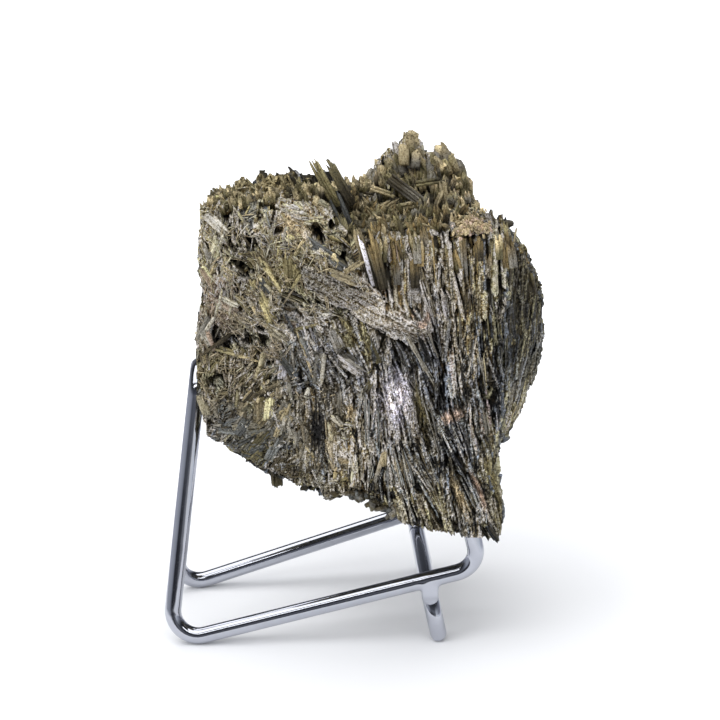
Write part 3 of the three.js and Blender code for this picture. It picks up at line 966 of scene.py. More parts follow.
def weave(crust, rng, tone_of, tall=1.0):
    """Combs bundles and splinters along the crust's lean, and colours its streaks."""
    cells = crust.side.step / 0.22
    picks = combed(rng, crust.lean, 1, int(18 / cells))
    crust.tone = tone_of(crust.side.spots, (0.7 * picks).ravel()).reshape(*crust.shape, 3)
    broad = combed(rng, crust.lean, int(20 / cells ** 2), int(56 / cells))
    medium = combed(rng, crust.lean, int(4 / cells ** 2) + 1, int(30 / cells))
    groove = np.exp(-((medium + 0.9) / 0.35) ** 2) + np.exp(-((broad + 0.7) / 0.2) ** 2)
    bundles = 0.5 * terraced(broad, 1.3) + 0.32 * terraced(medium, 1.2)
    crust.rise = tall * (bundles - 0.6 * np.clip(groove, 0, 1))


# How fast the painted shade in a groove deepens with its depth, for red, green and blue.
PAINTED_GROOVE_SHADE = (5.0, 5.7, 7.6)


def polish(crust, rng, calm=0.0):
    """Adds the finest striations along every lath and fibre, paints faint glints on the highest streaks
    and paints shade into the grooves.
    """
    cells = crust.side.step / 0.22
    fine = combed(rng, crust.lean, 0, int(11 / cells))
    finer = combed(rng, crust.lean, 0, int(5 / cells))
    grains = even(blurred(rng.normal(0, 1, crust.shape), 2))
    crust.rise += 0.09 * fine + 0.06 * finer + 0.07 * grains
    lines = combed(rng, crust.lean, 0, int(13 / cells))
    texture = (1 - calm) * (0.33 * lines + 0.24 * finer) + 0.22 * grains
    crust.tone *= np.exp(np.minimum(texture, 0.28))[:, :, None]
    # Painted glints: the highest of these streaks get pale colour added where tiny facets would
    # sparkle; the lowest are darkened into specks.
    crust.sparks = combed(rng, crust.lean, 0, int(3 / cells))
    crust.tone *= (1 - 0.5 * np.clip(-crust.sparks - 0.9, 0, 1.2))[:, :, None]
    crust.tone += np.clip(crust.sparks - 1.0, 0, 1.2)[:, :, None] * (0.085, 0.080, 0.062)
    crust.tone *= (1 - 0.85 * (1 - calm) * np.clip(-1.5 * lines - 1.2, 0, 1))[:, :, None]
    # Painted shade: the lower a spot lies under its blurred surroundings, the darker it is coloured.
    sunk = np.clip(crust.rise - blurred(crust.rise, int(24 / cells ** 2)), -1.1, 0.12)
    crust.tone *= np.exp(sunk[:, :, None] * PAINTED_GROOVE_SHADE)
    return fine


front = Side(u=(1, 0, 0), v=(0, 0, 1), out=(0, -1, 0), low=(5, 20), high=(77, 95))
front.refine(0.17)
rng = np.random.default_rng(12)
shape = front.heights.shape
wobble = even(blurred(rng.normal(0, 1, shape), 110))
lean = lean_at(front.spots).reshape(shape) + 0.15 * wobble
strayed = front.spots + 0.4 * np.stack([wobble.ravel(), np.roll(wobble, 40, axis=0).ravel()], axis=1)
on_rib = is_inside(strayed, RIB).reshape(shape)
lean[on_rib] = RIB_LEAN
crust = Crust(front, lean)
weave(crust, rng, ground_tone)
on_fan = is_inside(front.spots, FAN) & (front.spots[:, 1] < 64)
crust.rise *= 1 - 0.4 * blurred(on_fan.reshape(shape).astype(float), 40)
rib_rise = 0.15 * crust.rise + np.interp(front.spots[:, 0], (42, 52), (1.8, 0.5)).reshape(shape)
rib_tone = 0.4 * crust.tone + 0.6 * np.array(RIB_GREY)
ragged = 0.75 * combed(rng, crust.lean, 3, 6).ravel()
sunk = in_hollow(HOLLOWS, strayed, ragged).reshape(shape)

# The left part: a tangle of short stacks and threads, over and in its hollows, with the rib on top.
stack(rng, crust, LEFT, 420, 4, (0.6, 2.2), (1.5, 6), (0.3, 0.9), (0.1, 1.3), 0.14,
      ground_tone, lean_at, 0.4)
stack(rng, crust, LEFT, 260, 3, (0.4, 1.6), (1.2, 5), (0.25, 0.8), (0.3, 1.4), 0.18, ground_tone)
stack(rng, crust, LEFT, 60, 1, (0.6, 2.4), (2.5, 6), (0.9, 2.0), (0.6, 1.6), 0.1,
      ground_tone, lean_at, 0.4)
stack(rng, crust, LEFT, 300, 2, (0.3, 1.2), (1.5, 5), (0.17, 0.34), (0.6, 1.8), 0.2,
      thread_tone, lean_at, 0.4)
crust.rise -= sunk
# Painted shade: the hollows' colour darkens with their depth.
crust.tone *= np.exp(-1.2 * sunk)[:, :, None]
stack(rng, crust, LEFT, 160, 3, (0.3, 1.2), (1.2, 4), (0.25, 0.6), (-1.5, 0.3), 0.2, ground_tone)
crust.rise = np.where(on_rib, rib_rise, crust.rise)
crust.tone = np.where(on_rib[:, :, None], rib_tone, crust.tone)
crust.lean = np.where(on_rib, RIB_LEAN, crust.lean)

# The lower left, the middle and the fan: longer stacks, more and more parallel towards the right.
stack(rng, crust, LOWER_LEFT, 160, 4, (0.6, 2.4), (2, 7), (0.4, 1.0), (0.2, 1.2), 0.05,
      ground_tone, lean_at)
stack(rng, crust, LOWER_LEFT, 46, 1, (0.6, 2.4), (4, 9), (1.1, 2.4), (0.4, 1.4), 0.06,
      ground_tone, lean_at, 0.3)
stack(rng, crust, LOWER_LEFT, 120, 2, (0.6, 2.4), (1.5, 5), (0.6, 1.8), (0.2, 1.3), 0.15,
      ground_tone, lean_at, 0.6)
stack(rng, crust, LOWER_LEFT, 200, 2, (0.3, 1.2), (1, 3), (0.17, 0.34), (0.4, 1.4), 0.15,
      thread_tone, lean_at, 0.6)
stack(rng, crust, MIDDLE, 30, 1, (0.6, 2.4), (4, 9), (1.0, 2.0), (0.3, 1.0), 0.03,
      ground_tone, lean_at, 0.1)
stack(rng, crust, MIDDLE, 260, 3, (0.4, 1.5), (1.5, 6), (0.3, 0.8), (0.3, 1.1), 0.05,
      ground_tone, lean_at)
stack(rng, crust, FAN, 240, 3, (0.4, 1.5), (3, 11), (0.2, 0.5), (0.3, 0.9), 0.01,
      ground_tone, lean_at)
upper_fan = np.clip((front.spots[:, 1] - 65) / 5, 0, 1) * is_inside(front.spots, FAN)
crust.rise -= 1.6 * upper_fan.reshape(shape)

# Blades with golden ends hang side by side under the fan's upper edge.
for _ in range(150):
    middle = rng.uniform(39.5, 66.5)
    top = crest(middle) - abs(rng.normal(0, 4))
    angle, long, wide = radians(rng.normal(4, 4)), rng.uniform(3, 13), rng.uniform(0.5, 1.7)
    spot = np.array([middle, top]) + long / 2 * np.array([sin(angle), -cos(angle)])
    low, colour = rng.uniform(-1.2, 1.3), ground_tone(spot[None], rng.uniform(-1, 1, 1))[0]
    golden = np.array(TONES[rng.choice(["gold", "moss", "umber"])]) * exp(rng.normal(0.05, 0.3))
    # Painted shade: blades that lie lower are coloured darker.
    colour = colour * exp(rng.normal(0, 0.3) + 0.3 * low)
    crust.stamp(spot, angle, long, wide, low, 0.03, 0.6, colour, golden)
stack(rng, crust, FAN, 300, 1, (0.3, 1), (0.8, 2.6), (0.17, 0.4), (0.1, 1.1), 0.1,
      upper_thread_tone, lean_at, 0.25)

# The ridge and its two hollows, darkened with painted shade, and the lens on the right.
stack(rng, crust, RIDGE, 260, 2, (0.4, 1.5), (2, 6), (0.4, 1.2), (0.1, 1.2), 0.05,
      ground_tone, lean_at)
ridge_hollow = is_inside(front.spots, RIDGE).reshape(shape) & (sunk > 0.5)
crust.rise = np.where(ridge_hollow, np.minimum(crust.rise, -sunk), crust.rise)
# Painted shade: the ridge's hollows are coloured darker with their depth.
crust.tone *= np.exp(-0.6 * sunk * ridge_hollow)[:, :, None]
stack(rng, crust, LENS, 120, 3, (0.4, 1.5), (3, 9), (0.3, 0.9), (0.1, 0.8), 0.02,
      ground_tone, lean_at)
fine = polish(crust, rng, 0.7 * on_rib)
# The lightness steps go on here: partly painted light and shade, partly the face's own tone.
crust.tone = np.minimum(crust.tone * lightness_at(front.spots).reshape(*shape, 1), 0.5)

# The patches go over it, then the olive tips at the upper left and the shaded rim of the fan.
edge = 0.35 * combed(rng, crust.lean, 1, 12).ravel()
# Speckle for the patches; in the pale patches it paints glints.
speckle_and_glints = (np.exp(0.3 * fine) + 0.4 * np.clip(crust.sparks - 0.2, -1, 1.5))[:, :, None]
for patch in PATCHES:
    weight = patch_weight(front.spots, patch, edge).reshape(*shape, 1)
    crust.tone = crust.tone * (1 - weight) + np.array(TONES[patch[5]]) * speckle_and_glints * weight
tip_tone = 0.55 * np.array(TONES["moss"]) + 0.45 * np.array(TONES["straw"])
tip_tone = tip_tone * np.exp(0.35 * fine)[:, :, None]
at_tips = np.clip((front.spots[:, 1] - 87.4) / 0.8, 0, 1) * (front.spots[:, 0] < 41)
at_tips = at_tips.reshape(*shape, 1)
crust.tone = crust.tone * (1 - at_tips) + tip_tone * at_tips
on_rim = np.clip((front.spots[:, 1] - crest(front.spots[:, 0])) / 1.5 + 1.5, 0, 1)
on_rim *= is_inside(front.spots, FAN)
crust.tone *= 1 - 0.5 * on_rim.reshape(*shape, 1)
crust.rise -= 0.3


def stone_skin(name, streaked):
    """Epidote: the mesh's own tone, broken up by curling threads, flecks and, on crystals, streaks."""
    skin, tree = new_material(name)
    tone = tree.node("ShaderNodeAttribute", {"attribute_name": "tone"}, out=0)
    place = tree.node("ShaderNodeTexCoord", out=3)
    flecks = place.noise(3600, 3, 0.75)
    specks = place.cells(4200)
    relief = flecks + 0.6 * place.threads(1500)
    threads = 0.8 * place.threads(1400) + 0.5 * place.threads(2600)
    contrast = 3.2 * flecks + specks + threads - 1.6
    if streaked:
        grain = tree.node("ShaderNodeAttribute", {"attribute_name": "grain"}, out=1)
        streaks = grain.stretch((1, 1, 0.08)).noise(6, 3, 0.6)
        relief = relief + 1.5 * streaks
        contrast = 0.9 * contrast + 2.6 * streaks - 1.05
    tint = (0.6 * contrast + 1.2 * place.noise(900, 2) - 0.45).clamp().blend(WARM_TINT, PALE_TINT)
    tinted = tone.tinted_by(tint)
    finish_with(tree, {
        "Base Color": tinted.tinted_by(contrast.clamp(0.05, 1.45)),
        "Roughness": (0.22 + 0.3 * flecks + 0.45 * specks).clamp(),
        "IOR": 1.6,
        "Specular IOR Level": 0.27,
        "Normal": relief.bump(0.8, 0.14 * MM),
    })
    return skin


WARM_TINT, PALE_TINT = (1.12, 0.92, 0.58, 1), (1.03, 0.985, 0.96, 1)
crystal_skin = stone_skin("epidote_crystal", True)
crust_skin = stone_skin("fibrous_crust", False)

# What no outline covers joins the left crust, between the lower edge and the upper one.
LOW_EDGE = [(10, 41), (12, 40), (22, 34), (25, 33.4), (25.6, 31.6), (30, 31.4), (31, 29), (38, 31)]
HIGH_EDGE = [(27.9, 90.7), (28, 87.5), (31, 86), (34, 84), (38, 82.5)]
across, upright = front.spots.T
high_end = np.where(across > 41.5, skyline(across), np.interp(across, *zip(*HIGH_EDGE)))
left_over = (across > 10) & (upright > np.interp(across, *zip(*LOW_EDGE))) & (upright < high_end)
left_over &= (across <= 60) | (upright >= 42)
left_over = left_over.reshape(shape) & (front.facing > 0.4)
for name, outlines, least_facing in (
        ("fan_crust", (FAN, RIB), 0.25), ("ridge_crust", (RIDGE,), 0.25),
        ("lens_crust", (LENS,), 0.45), ("left_crust", (LEFT, LOWER_LEFT, MIDDLE), 0.25)):
    shown = np.any([is_inside(front.spots, outline) for outline in outlines], axis=0).reshape(shape)
    shown &= front.facing > least_facing
    if name == "ridge_crust":
        shown &= (upright < skyline(across)).reshape(shape)
    left_over &= ~shown
    if name == "left_crust":
        shown |= blurred(left_over.astype(float), 6) > 0.5
    piece = object_of(crust.mesh(name, shown), name, crust_skin)
    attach(piece, "root")
front.heights = front.heights + crust.rise


# ---- Other sides of the cluster --------------------------------------------------------------
# The top is a granular tangle, the back and both flanks are combed upright like the fan, and the
# underside is broken across its fibres.
def plain_tone(names):
    """A ground colour that only depends on which of three named tones its streaks pick."""
    tones = np.array([TONES[name] for name in names.split()])

    def tone_of(spots, picks):
        """The tone for each pick, the same at every spot."""
        to_second = np.clip((picks[:, None] - 0.1) * 3, 0, 1)
        to_third = np.clip((-picks[:, None] - 0.5) * 3, 0, 1)
        return tones[0] * (1 - to_second) * (1 - to_third) + tones[1] * to_second + tones[2] * to_third

    return tone_of


def upright_lean(spots):
    """Laths that stand upright, one heading for each spot."""
    return np.zeros(len(spots))


def flank(name, side, seed, tones, laths, turned=False, hollows=(), tall=1.0, nearest=-99,
          sink=0.8, trim=(10, 0.55)):
    """A crust for a whole side of the cluster, with laths upright or turned all ways.

    It leaves out what lies below nearest. Trim drops thin parts: how far to look round a spot, and
    how much of that has to face outward.
    """
    rng = np.random.default_rng(seed)
    side.refine(0.34)
    slow = blurred(rng.normal(0, 1, side.heights.shape), 60)
    crust = Crust(side, 0.15 * even(slow))
    tone_of = plain_tone(tones)
    weave(crust, rng, tone_of, tall)
    whole = [side.low, (side.high[0], side.low[1]), side.high, (side.low[0], side.high[1])]
    stack(rng, crust, whole, laths, 3, (0.5, 2), (1.5, 6), (0.4, 1), (0.1, 1), 0.08, tone_of,
          None if turned else upright_lean)
    ragged = 0.5 * combed(rng, crust.lean, 3, 6).ravel()
    sunk = in_hollow(hollows, side.spots, ragged).reshape(crust.shape)
    crust.rise -= sunk + sink
    # Painted shade: the hollows' colour darkens with their depth.
    crust.tone *= np.exp(-1.5 * sunk)[:, :, None]
    polish(crust, rng)
    if name == "back_crust":
        under_skyline = side.spots[:, 1] < skyline(-side.spots[:, 0])
        side.facing = side.facing * under_skyline.reshape(crust.shape)
    side.facing = side.facing * (side.heights > nearest)
    outward = side.facing > 0.5
    wide_enough = blurred(outward.astype(float), trim[0]) > trim[1]
    piece = object_of(crust.mesh(name, wide_enough & outward), name, crust_skin)
    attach(piece, "root")
    side.heights = side.heights + crust.rise


top = Side(u=(1, 0, 0), v=(0, 1, 0), out=(0, 0, 1), low=(5, -24), high=(77, 25))
back = Side(u=(-1, 0, 0), v=(0, 0, 1), out=(0, 1, 0), low=(-77, 20), high=(-5, 96), bridged=7)
right = Side(u=(0, 1, 0), v=(0, 0, 1), out=(1, 0, 0), low=(-25, 20), high=(25, 96))
left = Side(u=(0, -1, 0), v=(0, 0, 1), out=(-1, 0, 0), low=(-25, 20), high=(25, 96))
under = Side(u=(1, 0, 0), v=(0, -1, 0), out=(0, 0, -1), low=(5, -25), high=(77, 24))
flank("top_crust", top, 31, "moss straw umber", laths=1500, turned=True, hollows=TOP_HOLLOWS,
      trim=(40, 0.8))
flank("back_crust", back, 32, "slate moss grey", laths=500)
flank("right_crust", right, 33, "slate moss umber", laths=200, nearest=57)
flank("left_flank", left, 34, "moss grey umber", laths=700, turned=True, nearest=-24, sink=1.3,
      tall=0.5)
flank("under_crust", under, 35, "umber slate olive", laths=900, turned=True, tall=0.7,
      nearest=-60, trim=(40, 0.8))


# ---- Laid laths ------------------------------------------------------------------------------
# Small stacks of parallel laths lie over the crusts: tumbled on the left and on the top, and more
# and more parallel towards the right. A wide one is a bundle of blades of uneven height.
def crystal_shape(sides, rings, root, shoulder, tip, wedge=0.35, slant=0.1):
    """A unit crystal's points and faces: a prism along z that narrows to a slanted, wedge-like end."""
    crystal = bmesh.new()
    bmesh.ops.create_cone(crystal, cap_ends=True, segments=sides, radius1=0.5, radius2=0.5, depth=1,
                          matrix=Matrix.Translation((0, 0, 0.5)))
    upright = [edge for edge in crystal.edges if abs(edge.verts[0].co.z - edge.verts[1].co.z) > 0.5]
    bmesh.ops.subdivide_edges(crystal, edges=upright, cuts=rings, use_grid_fill=False)
    for vert in crystal.verts:
        height = vert.co.z
        if height > 0.99:
            vert.co.x *= tip
            vert.co.y *= tip * wedge
            vert.co.z -= slant * vert.co.x
        elif height < 0.01:
            vert.co.xy *= root
        elif height > 0.99 - 1 / (rings + 1):
            vert.co.z = shoulder
    bmesh.ops.triangulate(crystal, faces=crystal.faces)
    crystal.verts.ensure_lookup_table()
    points = np.array([vert.co for vert in crystal.verts])
    faces = np.array([[vert.index for vert in face.verts] for face in crystal.faces])
    crystal.free()
    return points, faces


def unit(vectors):
    """The same headings, each of length 1."""
    return vectors / np.maximum(np.linalg.norm(vectors, axis=1, keepdims=True), 1e-9)


def grow(name, form, rng, groups, bow=0.01, blade=0.6):
    """Joins groups of crystals into one piece. A group holds an array for each of its qualities.

    A crystal wider than a blade is a bundle of parallel blades of uneven height.
    """
    root, tip, facing, width, depth, spin, tone, crown = (
        np.concatenate([group[key] for group in groups])
        for key in ("root", "tip", "facing", "width", "depth", "spin", "tone", "crown"))
    points, faces = form
    blades = np.maximum(np.rint(width / blade), 1)
    of = np.repeat(np.arange(len(root)), blades.astype(int))
    rank = np.arange(len(of)) - np.searchsorted(of, of)
    root, tip, facing, width, depth, spin, tone, crown, blades = (
        item[of] for item in (root, tip, facing, width, depth, spin, tone, crown, blades))
    count, corners = len(root), len(points)
    heading = unit(tip - root)
    across = unit(np.cross(heading, facing))
    outward = np.cross(across, heading)
    across = across * np.cos(spin)[:, None] + outward * np.sin(spin)[:, None]
    outward = np.cross(across, heading)
    split = blades > 1
    aside = (rank - (blades - 1) / 2) * width / blades
    shorter = split * (rank != blades // 2) * np.abs(rng.normal(0, 0.16, count))
    length = np.linalg.norm(tip - root, axis=1) * (1 - shorter)
    shift = across * aside[:, None] + outward * (split * rng.normal(0, 0.15, count) * depth)[:, None]
    root, tip = root + shift, root + shift + heading * length[:, None]
    width = width / blades * (1 + 0.25 * split)
    shade = np.exp(split * rng.normal(0, 0.25, count))[:, None]
    tone, crown = tone * shade, crown * shade
    uneven = 0.07 + 0.16 * np.clip(points[:, 2:] * 2 - 1, 0, 1)
    jitter = 1 + rng.normal(0, 1, (count, corners, 3)) * uneven * np.array([1, 1, 0.3])
    local = points[None] * jitter * np.stack([width, depth, length], axis=1)[:, None]
    bend = rng.normal(0, bow, (count, 1)) * length[:, None]
    arch = 4 * points[None, :, 2] * (1 - points[None, :, 2]) * bend
    world = (root[:, None] + local[:, :, 0:1] * across[:, None] + local[:, :, 2:3] * heading[:, None]
             + (local[:, :, 1:2] + arch[:, :, None]) * outward[:, None])
    mesh = bpy.data.meshes.new(name)
    all_faces = (faces[None] + (np.arange(count) * corners)[:, None, None]).reshape(-1, 3)
    mesh.vertices.add(count * corners)
    mesh.vertices.foreach_set("co", to_frame(world.reshape(-1, 3)).ravel())
    mesh.loops.add(all_faces.size)
    mesh.loops.foreach_set("vertex_index", all_faces.ravel())
    mesh.polygons.add(len(all_faces))
    mesh.polygons.foreach_set("loop_start", np.arange(len(all_faces)) * 3)
    grain_of = mesh.attributes.new("grain", "FLOAT_VECTOR", "POINT")
    own = rng.uniform(0, 50, (count, 1, 3))
    grain_of.data.foreach_set("vector", (local + own).ravel().astype(np.float32))
    tone_of = mesh.attributes.new("tone", "FLOAT_COLOR", "POINT")
    near_tip = np.clip(points[:, 2] * 1.6 - 0.6, 0, 1)[None, :, None]
    shaded = tone[:, None] * (1 - near_tip) + crown[:, None] * near_tip
    shaded = np.concatenate([shaded, np.ones((count, corners, 1))], axis=2)
    tone_of.data.foreach_set("color", shaded.ravel().astype(np.float32))
    mesh.update(calc_edges=True)
    mesh.validate()
    made = object_of(mesh, name, crystal_skin)
    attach(made, "root")


def lay(rng, side, outline, count, laths, breadth, length, width, rise, tilt, tone_of,
        turn=None, sway=0.12, flat=0.55, spin=0.35, crown=1.0):
    """Small stacks of parallel laths lying on a side. Ranges are (least, most), in millimetres.

    Turn gives their lean, or none does and they lie any way. Crown is how much lighter the tips are.
    """
    middles = scatter(rng, outline, count)
    of = np.repeat(np.arange(count), rng.poisson(laths, count) + 1)
    total = len(of)
    if turn is None:
        angles = rng.uniform(-pi / 2, pi / 2, count)
    else:
        angles = turn(middles) + rng.normal(0, sway, count)
    forward = np.stack([-np.sin(angles), np.cos(angles)], 1)[of]
    aside = np.stack([np.cos(angles), np.sin(angles)], 1)[of]
    off = rng.uniform(-0.5, 0.5, total) * rng.uniform(*breadth, count)[of]
    spots = middles[of] + aside * off[:, None] + forward * rng.normal(0, 0.5, total)[:, None]
    own_angle = angles[of] + rng.normal(0, 0.05, total)
    heading = np.stack([-np.sin(own_angle), np.cos(own_angle)], 1)
    long = rng.uniform(*length, count)[of] * rng.uniform(0.6, 1.15, total)
    heights = rng.uniform(*rise, count)[of] + rng.normal(0, 0.1, total)
    tilts = np.abs(rng.normal(0, tilt, count))[of] * long
    picks = rng.uniform(-1, 1, count)[of]
    picks = np.where(rng.uniform(0, 1, total) < ODD_LATHS, rng.uniform(-1, 1, total), picks)
    tones = tone_of(spots, picks) * np.exp(rng.normal(0, 0.3, (total, 1)))
    half = heading * (long / 2)[:, None]
    start, end = spots - half, spots + half
    wide = rng.uniform(*width, total)
    start_height, end_height = side.read(side.heights, start), side.read(side.heights, end)
    level = np.maximum(side.read(side.heights, spots), (start_height + end_height) / 2)
    keep = np.abs(end_height - start_height) < 0.35 * long + 0.3
    for spot in (start, end):
        keep &= (side.read(side.facing, spot) > 0.35) & is_inside(spot, outline)
        keep &= in_hollow(HOLLOWS if side is front else TOP_HOLLOWS, spot) < 0.5
    if side is front:
        keep &= ~is_inside(spots, RIB)
        # Front laths take the same lightness steps, partly painted light and shade.
        tones = np.minimum(tones * lightness_at(spots), 0.45)
    root_height = (start_height + level) / 2 + heights - LATH_SINK - 0.3 * tilts
    tip_height = (end_height + level) / 2 + heights + tilts
    group = {
        "root": start[:, :1] * side.u + start[:, 1:] * side.v + root_height[:, None] * side.out,
        "tip": end[:, :1] * side.u + end[:, 1:] * side.v + tip_height[:, None] * side.out,
        "facing": np.repeat(side.out[None], total, 0),
        "width": wide,
        "depth": wide * flat,
        "spin": rng.normal(0, spin, total),
        "tone": tones,
        "crown": tones * crown,
    }
    return {key: value[keep] for key, value in group.items()}


# How far a lath's root is sunk, and how many laths differ in tone from the rest of their stack.
LATH_SINK = 0.25
ODD_LATHS = 0.4
LATH = crystal_shape(sides=6, rings=2, root=0.8, shoulder=0.92, tip=0.65)
TOP_LEFT = [(9, -12), (9, 14), (36, 14), (36, -8)]
TOP_RIGHT = [(40, -10), (40, 8), (62, 8), (64, -10)]
TOP_CORNER = [(55.5, -15.5), (63, -15.5), (62, -8), (57, -9)]
rng = np.random.default_rng(21)
laid = [
    lay(rng, front, LEFT, 110, 2.5, (0.6, 2.0), (1.5, 5.5), (0.3, 0.9), (-0.3, 0.4), 0.1,
        ground_tone, lean_at, 0.4, crown=1.2),
    lay(rng, front, LEFT, 40, 2, (0.6, 2.0), (1.5, 5), (0.3, 0.7), (0.0, 0.6), 0.15,
        ground_tone, crown=1.2),
    lay(rng, front, LEFT, 30, 0.6, (0.6, 2.0), (3, 7), (1.0, 2.2), (0.1, 0.8), 0.08,
        ground_tone, lean_at, 0.4, flat=0.35, crown=0.8),
    lay(rng, front, LOWER_LEFT, 24, 2.5, (0.6, 2.4), (2, 7), (0.4, 1.0), (-0.2, 0.2), 0.05,
        ground_tone, lean_at),
    lay(rng, front, LOWER_LEFT, 50, 0.6, (0.6, 2.4), (2.5, 6), (0.8, 2.2), (-0.3, 0.3), 0.1,
        ground_tone, lean_at, 0.5, flat=0.3),
    lay(rng, front, MIDDLE, 24, 2, (0.4, 1.6), (1.5, 6), (0.35, 0.9), (-0.2, 0.2), 0.05,
        ground_tone, lean_at, 0.3),
    lay(rng, front, MIDDLE, 18, 0.6, (0.4, 1.6), (3, 7), (0.8, 2.0), (-0.3, 0.2), 0.05,
        ground_tone, lean_at, 0.3, flat=0.35),
    lay(rng, front, RIDGE, 30, 2, (0.4, 1.6), (2, 6), (0.5, 1.4), (0.0, 0.5), 0.05,
        ground_tone, lean_at),
    lay(rng, top, TOP_LEFT, 120, 2, (0.4, 2), (1.2, 4), (0.4, 1.2), (0.0, 0.6), 0.3,
        plain_tone("moss straw olive"), crown=1.2),
    lay(rng, top, TOP_RIGHT, 18, 2, (0.6, 2), (1.5, 3.5), (0.6, 1.4), (0.2, 1.0), 0.25,
        plain_tone("moss umber straw"), crown=1.1),
    lay(rng, top, TOP_CORNER, 260, 1, (0.3, 1), (0.3, 0.8), (0.3, 0.6), (0.1, 1.1), 0.3,
        plain_tone("buff straw buff"), flat=0.8),
]
grow("laid_laths", LATH, rng, laid)


# ---- Thin laths ------------------------------------------------------------------------------
# Long thin blades in the fan and the lens, and short threads in the tangle on the left, in the middle
# and at the lower left.
SPLINTER = crystal_shape(sides=4, rings=1, root=0.6, shoulder=0.8, tip=0.5)
thin = [
    lay(rng, front, FAN, 60, 3, (0.4, 1.6), (4, 13), (0.25, 0.5), (-0.2, 0.1), 0.01,
        ground_tone, lean_at, 0.05, flat=0.9, spin=0.8),
    lay(rng, front, LENS, 20, 2, (0.4, 1.6), (3, 9), (0.25, 0.6), (-0.1, 0.1), 0.01,
        ground_tone, lean_at, 0.06),
    lay(rng, front, LEFT, 900, 1, (0.3, 1), (0.7, 2.8), (0.12, 0.26), (0, 0.5), 0.2,
        thread_tone, flat=0.8),
    lay(rng, front, LEFT, 700, 1, (0.3, 1), (1, 4), (0.12, 0.3), (0, 0.5), 0.15,
        thread_tone, lean_at, 0.5, flat=0.8),
    lay(rng, front, MIDDLE, 260, 1, (0.3, 1), (0.6, 2), (0.18, 0.36), (-0.1, 0.3), 0.2,
        ground_tone, flat=0.8),
    lay(rng, front, LOWER_LEFT, 240, 1, (0.3, 1), (0.6, 2), (0.18, 0.36), (-0.1, 0.3), 0.2,
        ground_tone, flat=0.8),
]
grow("thin_laths", SPLINTER, rng, thin)


# ---- Stubby, blocky and pointed crystals and lumps -------------------------------------------
# Terminations of the epidote stand along every upper edge, golden-olive with paler tips. Dark
# lumps of the same mass hang under the lower edge.
def named_tone(names):
    """The tones with these names, one to a row."""
    return np.array([TONES[name] for name in names.split()])


def varied_tone(rng, names, total):
    """A tone for each of many crystals: one of these, a little lighter or darker."""
    picked = named_tone(names)[rng.integers(0, len(names.split()), total)]
    return picked * np.exp(rng.normal(0, 0.25, (total, 1)))


def stand(rng, roots, upward, length, width, splay, tones, crowns, sink=0.6):
    """Crystals standing on given places: upward is their common heading, splay how much it varies."""
    total = len(roots)
    heading = unit(np.array(upward, float) + rng.normal(0, splay, (total, 3)))
    long = rng.uniform(*length, total)
    wide = rng.uniform(*width, total)
    tone = varied_tone(rng, tones, total)
    crown = varied_tone(rng, crowns, total)
    return {
        "root": roots - heading * sink,
        "tip": roots + heading * long[:, None],
        "facing": np.repeat([TO_FRONT], total, 0),
        "width": wide,
        "depth": wide * 0.8,
        "spin": rng.uniform(-0.8, 0.8, total),
        "tone": tone,
        "crown": crown,
    }


def along_line(rng, points, count, spread):
    """Places along a line through points, each moved a little."""
    points = np.array(points, float)
    where = (np.arange(count) + rng.uniform(0, 1, count)) / count
    knots = np.linspace(0, 1, len(points))
    places = np.stack([np.interp(where, knots, points[:, axis]) for axis in range(3)], axis=1)
    return places + rng.normal(0, 1, (count, 3)) * np.array(spread)


# The crystals' broad faces turn to the front. The lines and outlines are the edges they stand on.
TO_FRONT = (0.0, -1.0, 0.0)
CREST_BACK = [(37.5, -9, 79.2), (42, -8, 80.4), (50, -7.5, 80.6), (56, -8, 79.4), (62, -8, 78.6),
              (67, -8, 77)]
LEFT_TOP = [(11.6, -9.5, 84.8), (13, -9.5, 85.2), (18, -9.5, 86.0), (26, -9.4, 86.2),
            (32, -9.4, 86.6)]
LEFT_TOP_BACK = [(12.0, -2, 84.0), (20, 0, 84.6), (28, 2, 84.6), (32, 2, 84.0)]
GAP = [(34.5, 2, 83.8), (37, 2, 85.0), (40, 3, 85.0), (43, 4, 84.6)]
RIDGE_FRONT = [(43.5, 7, 81), (47, 8, 83.6), (52, 8, 84.6), (56, 8, 84), (61, 6, 80)]
RIDGE_FACE = [(43, 83), (45, 87), (50, 90.5), (53, 87), (58, 87), (62, 80), (50, 83)]
ROSE_TIPS = [(56.8, -15.6, 80.4), (59.4, -15.2, 81.6), (62.6, -15.2, 80.7)]
LOWER_EDGE = [(13, -10.5, 41.0), (16, -10.5, 38.6), (22, -10, 34.8), (27, -10.5, 34), (31, -12, 32.4),
              (33, -12, 30.5), (38, -16, 31.5), (46, -20.5, 28.6)]
LOWER_CORNER = [(36.6, -16.5, 31.2), (40, -18, 29.4), (44, -19.4, 27.8)]
STUB = crystal_shape(sides=5, rings=2, root=0.9, shoulder=0.78, tip=0.35, wedge=0.6, slant=0.6)
BLOCK = crystal_shape(sides=6, rings=2, root=0.9, shoulder=0.85, tip=0.8, wedge=0.8, slant=0.4)
NEEDLE = crystal_shape(sides=6, rings=2, root=0.9, shoulder=0.55, tip=0.3, wedge=0.8, slant=0.3)

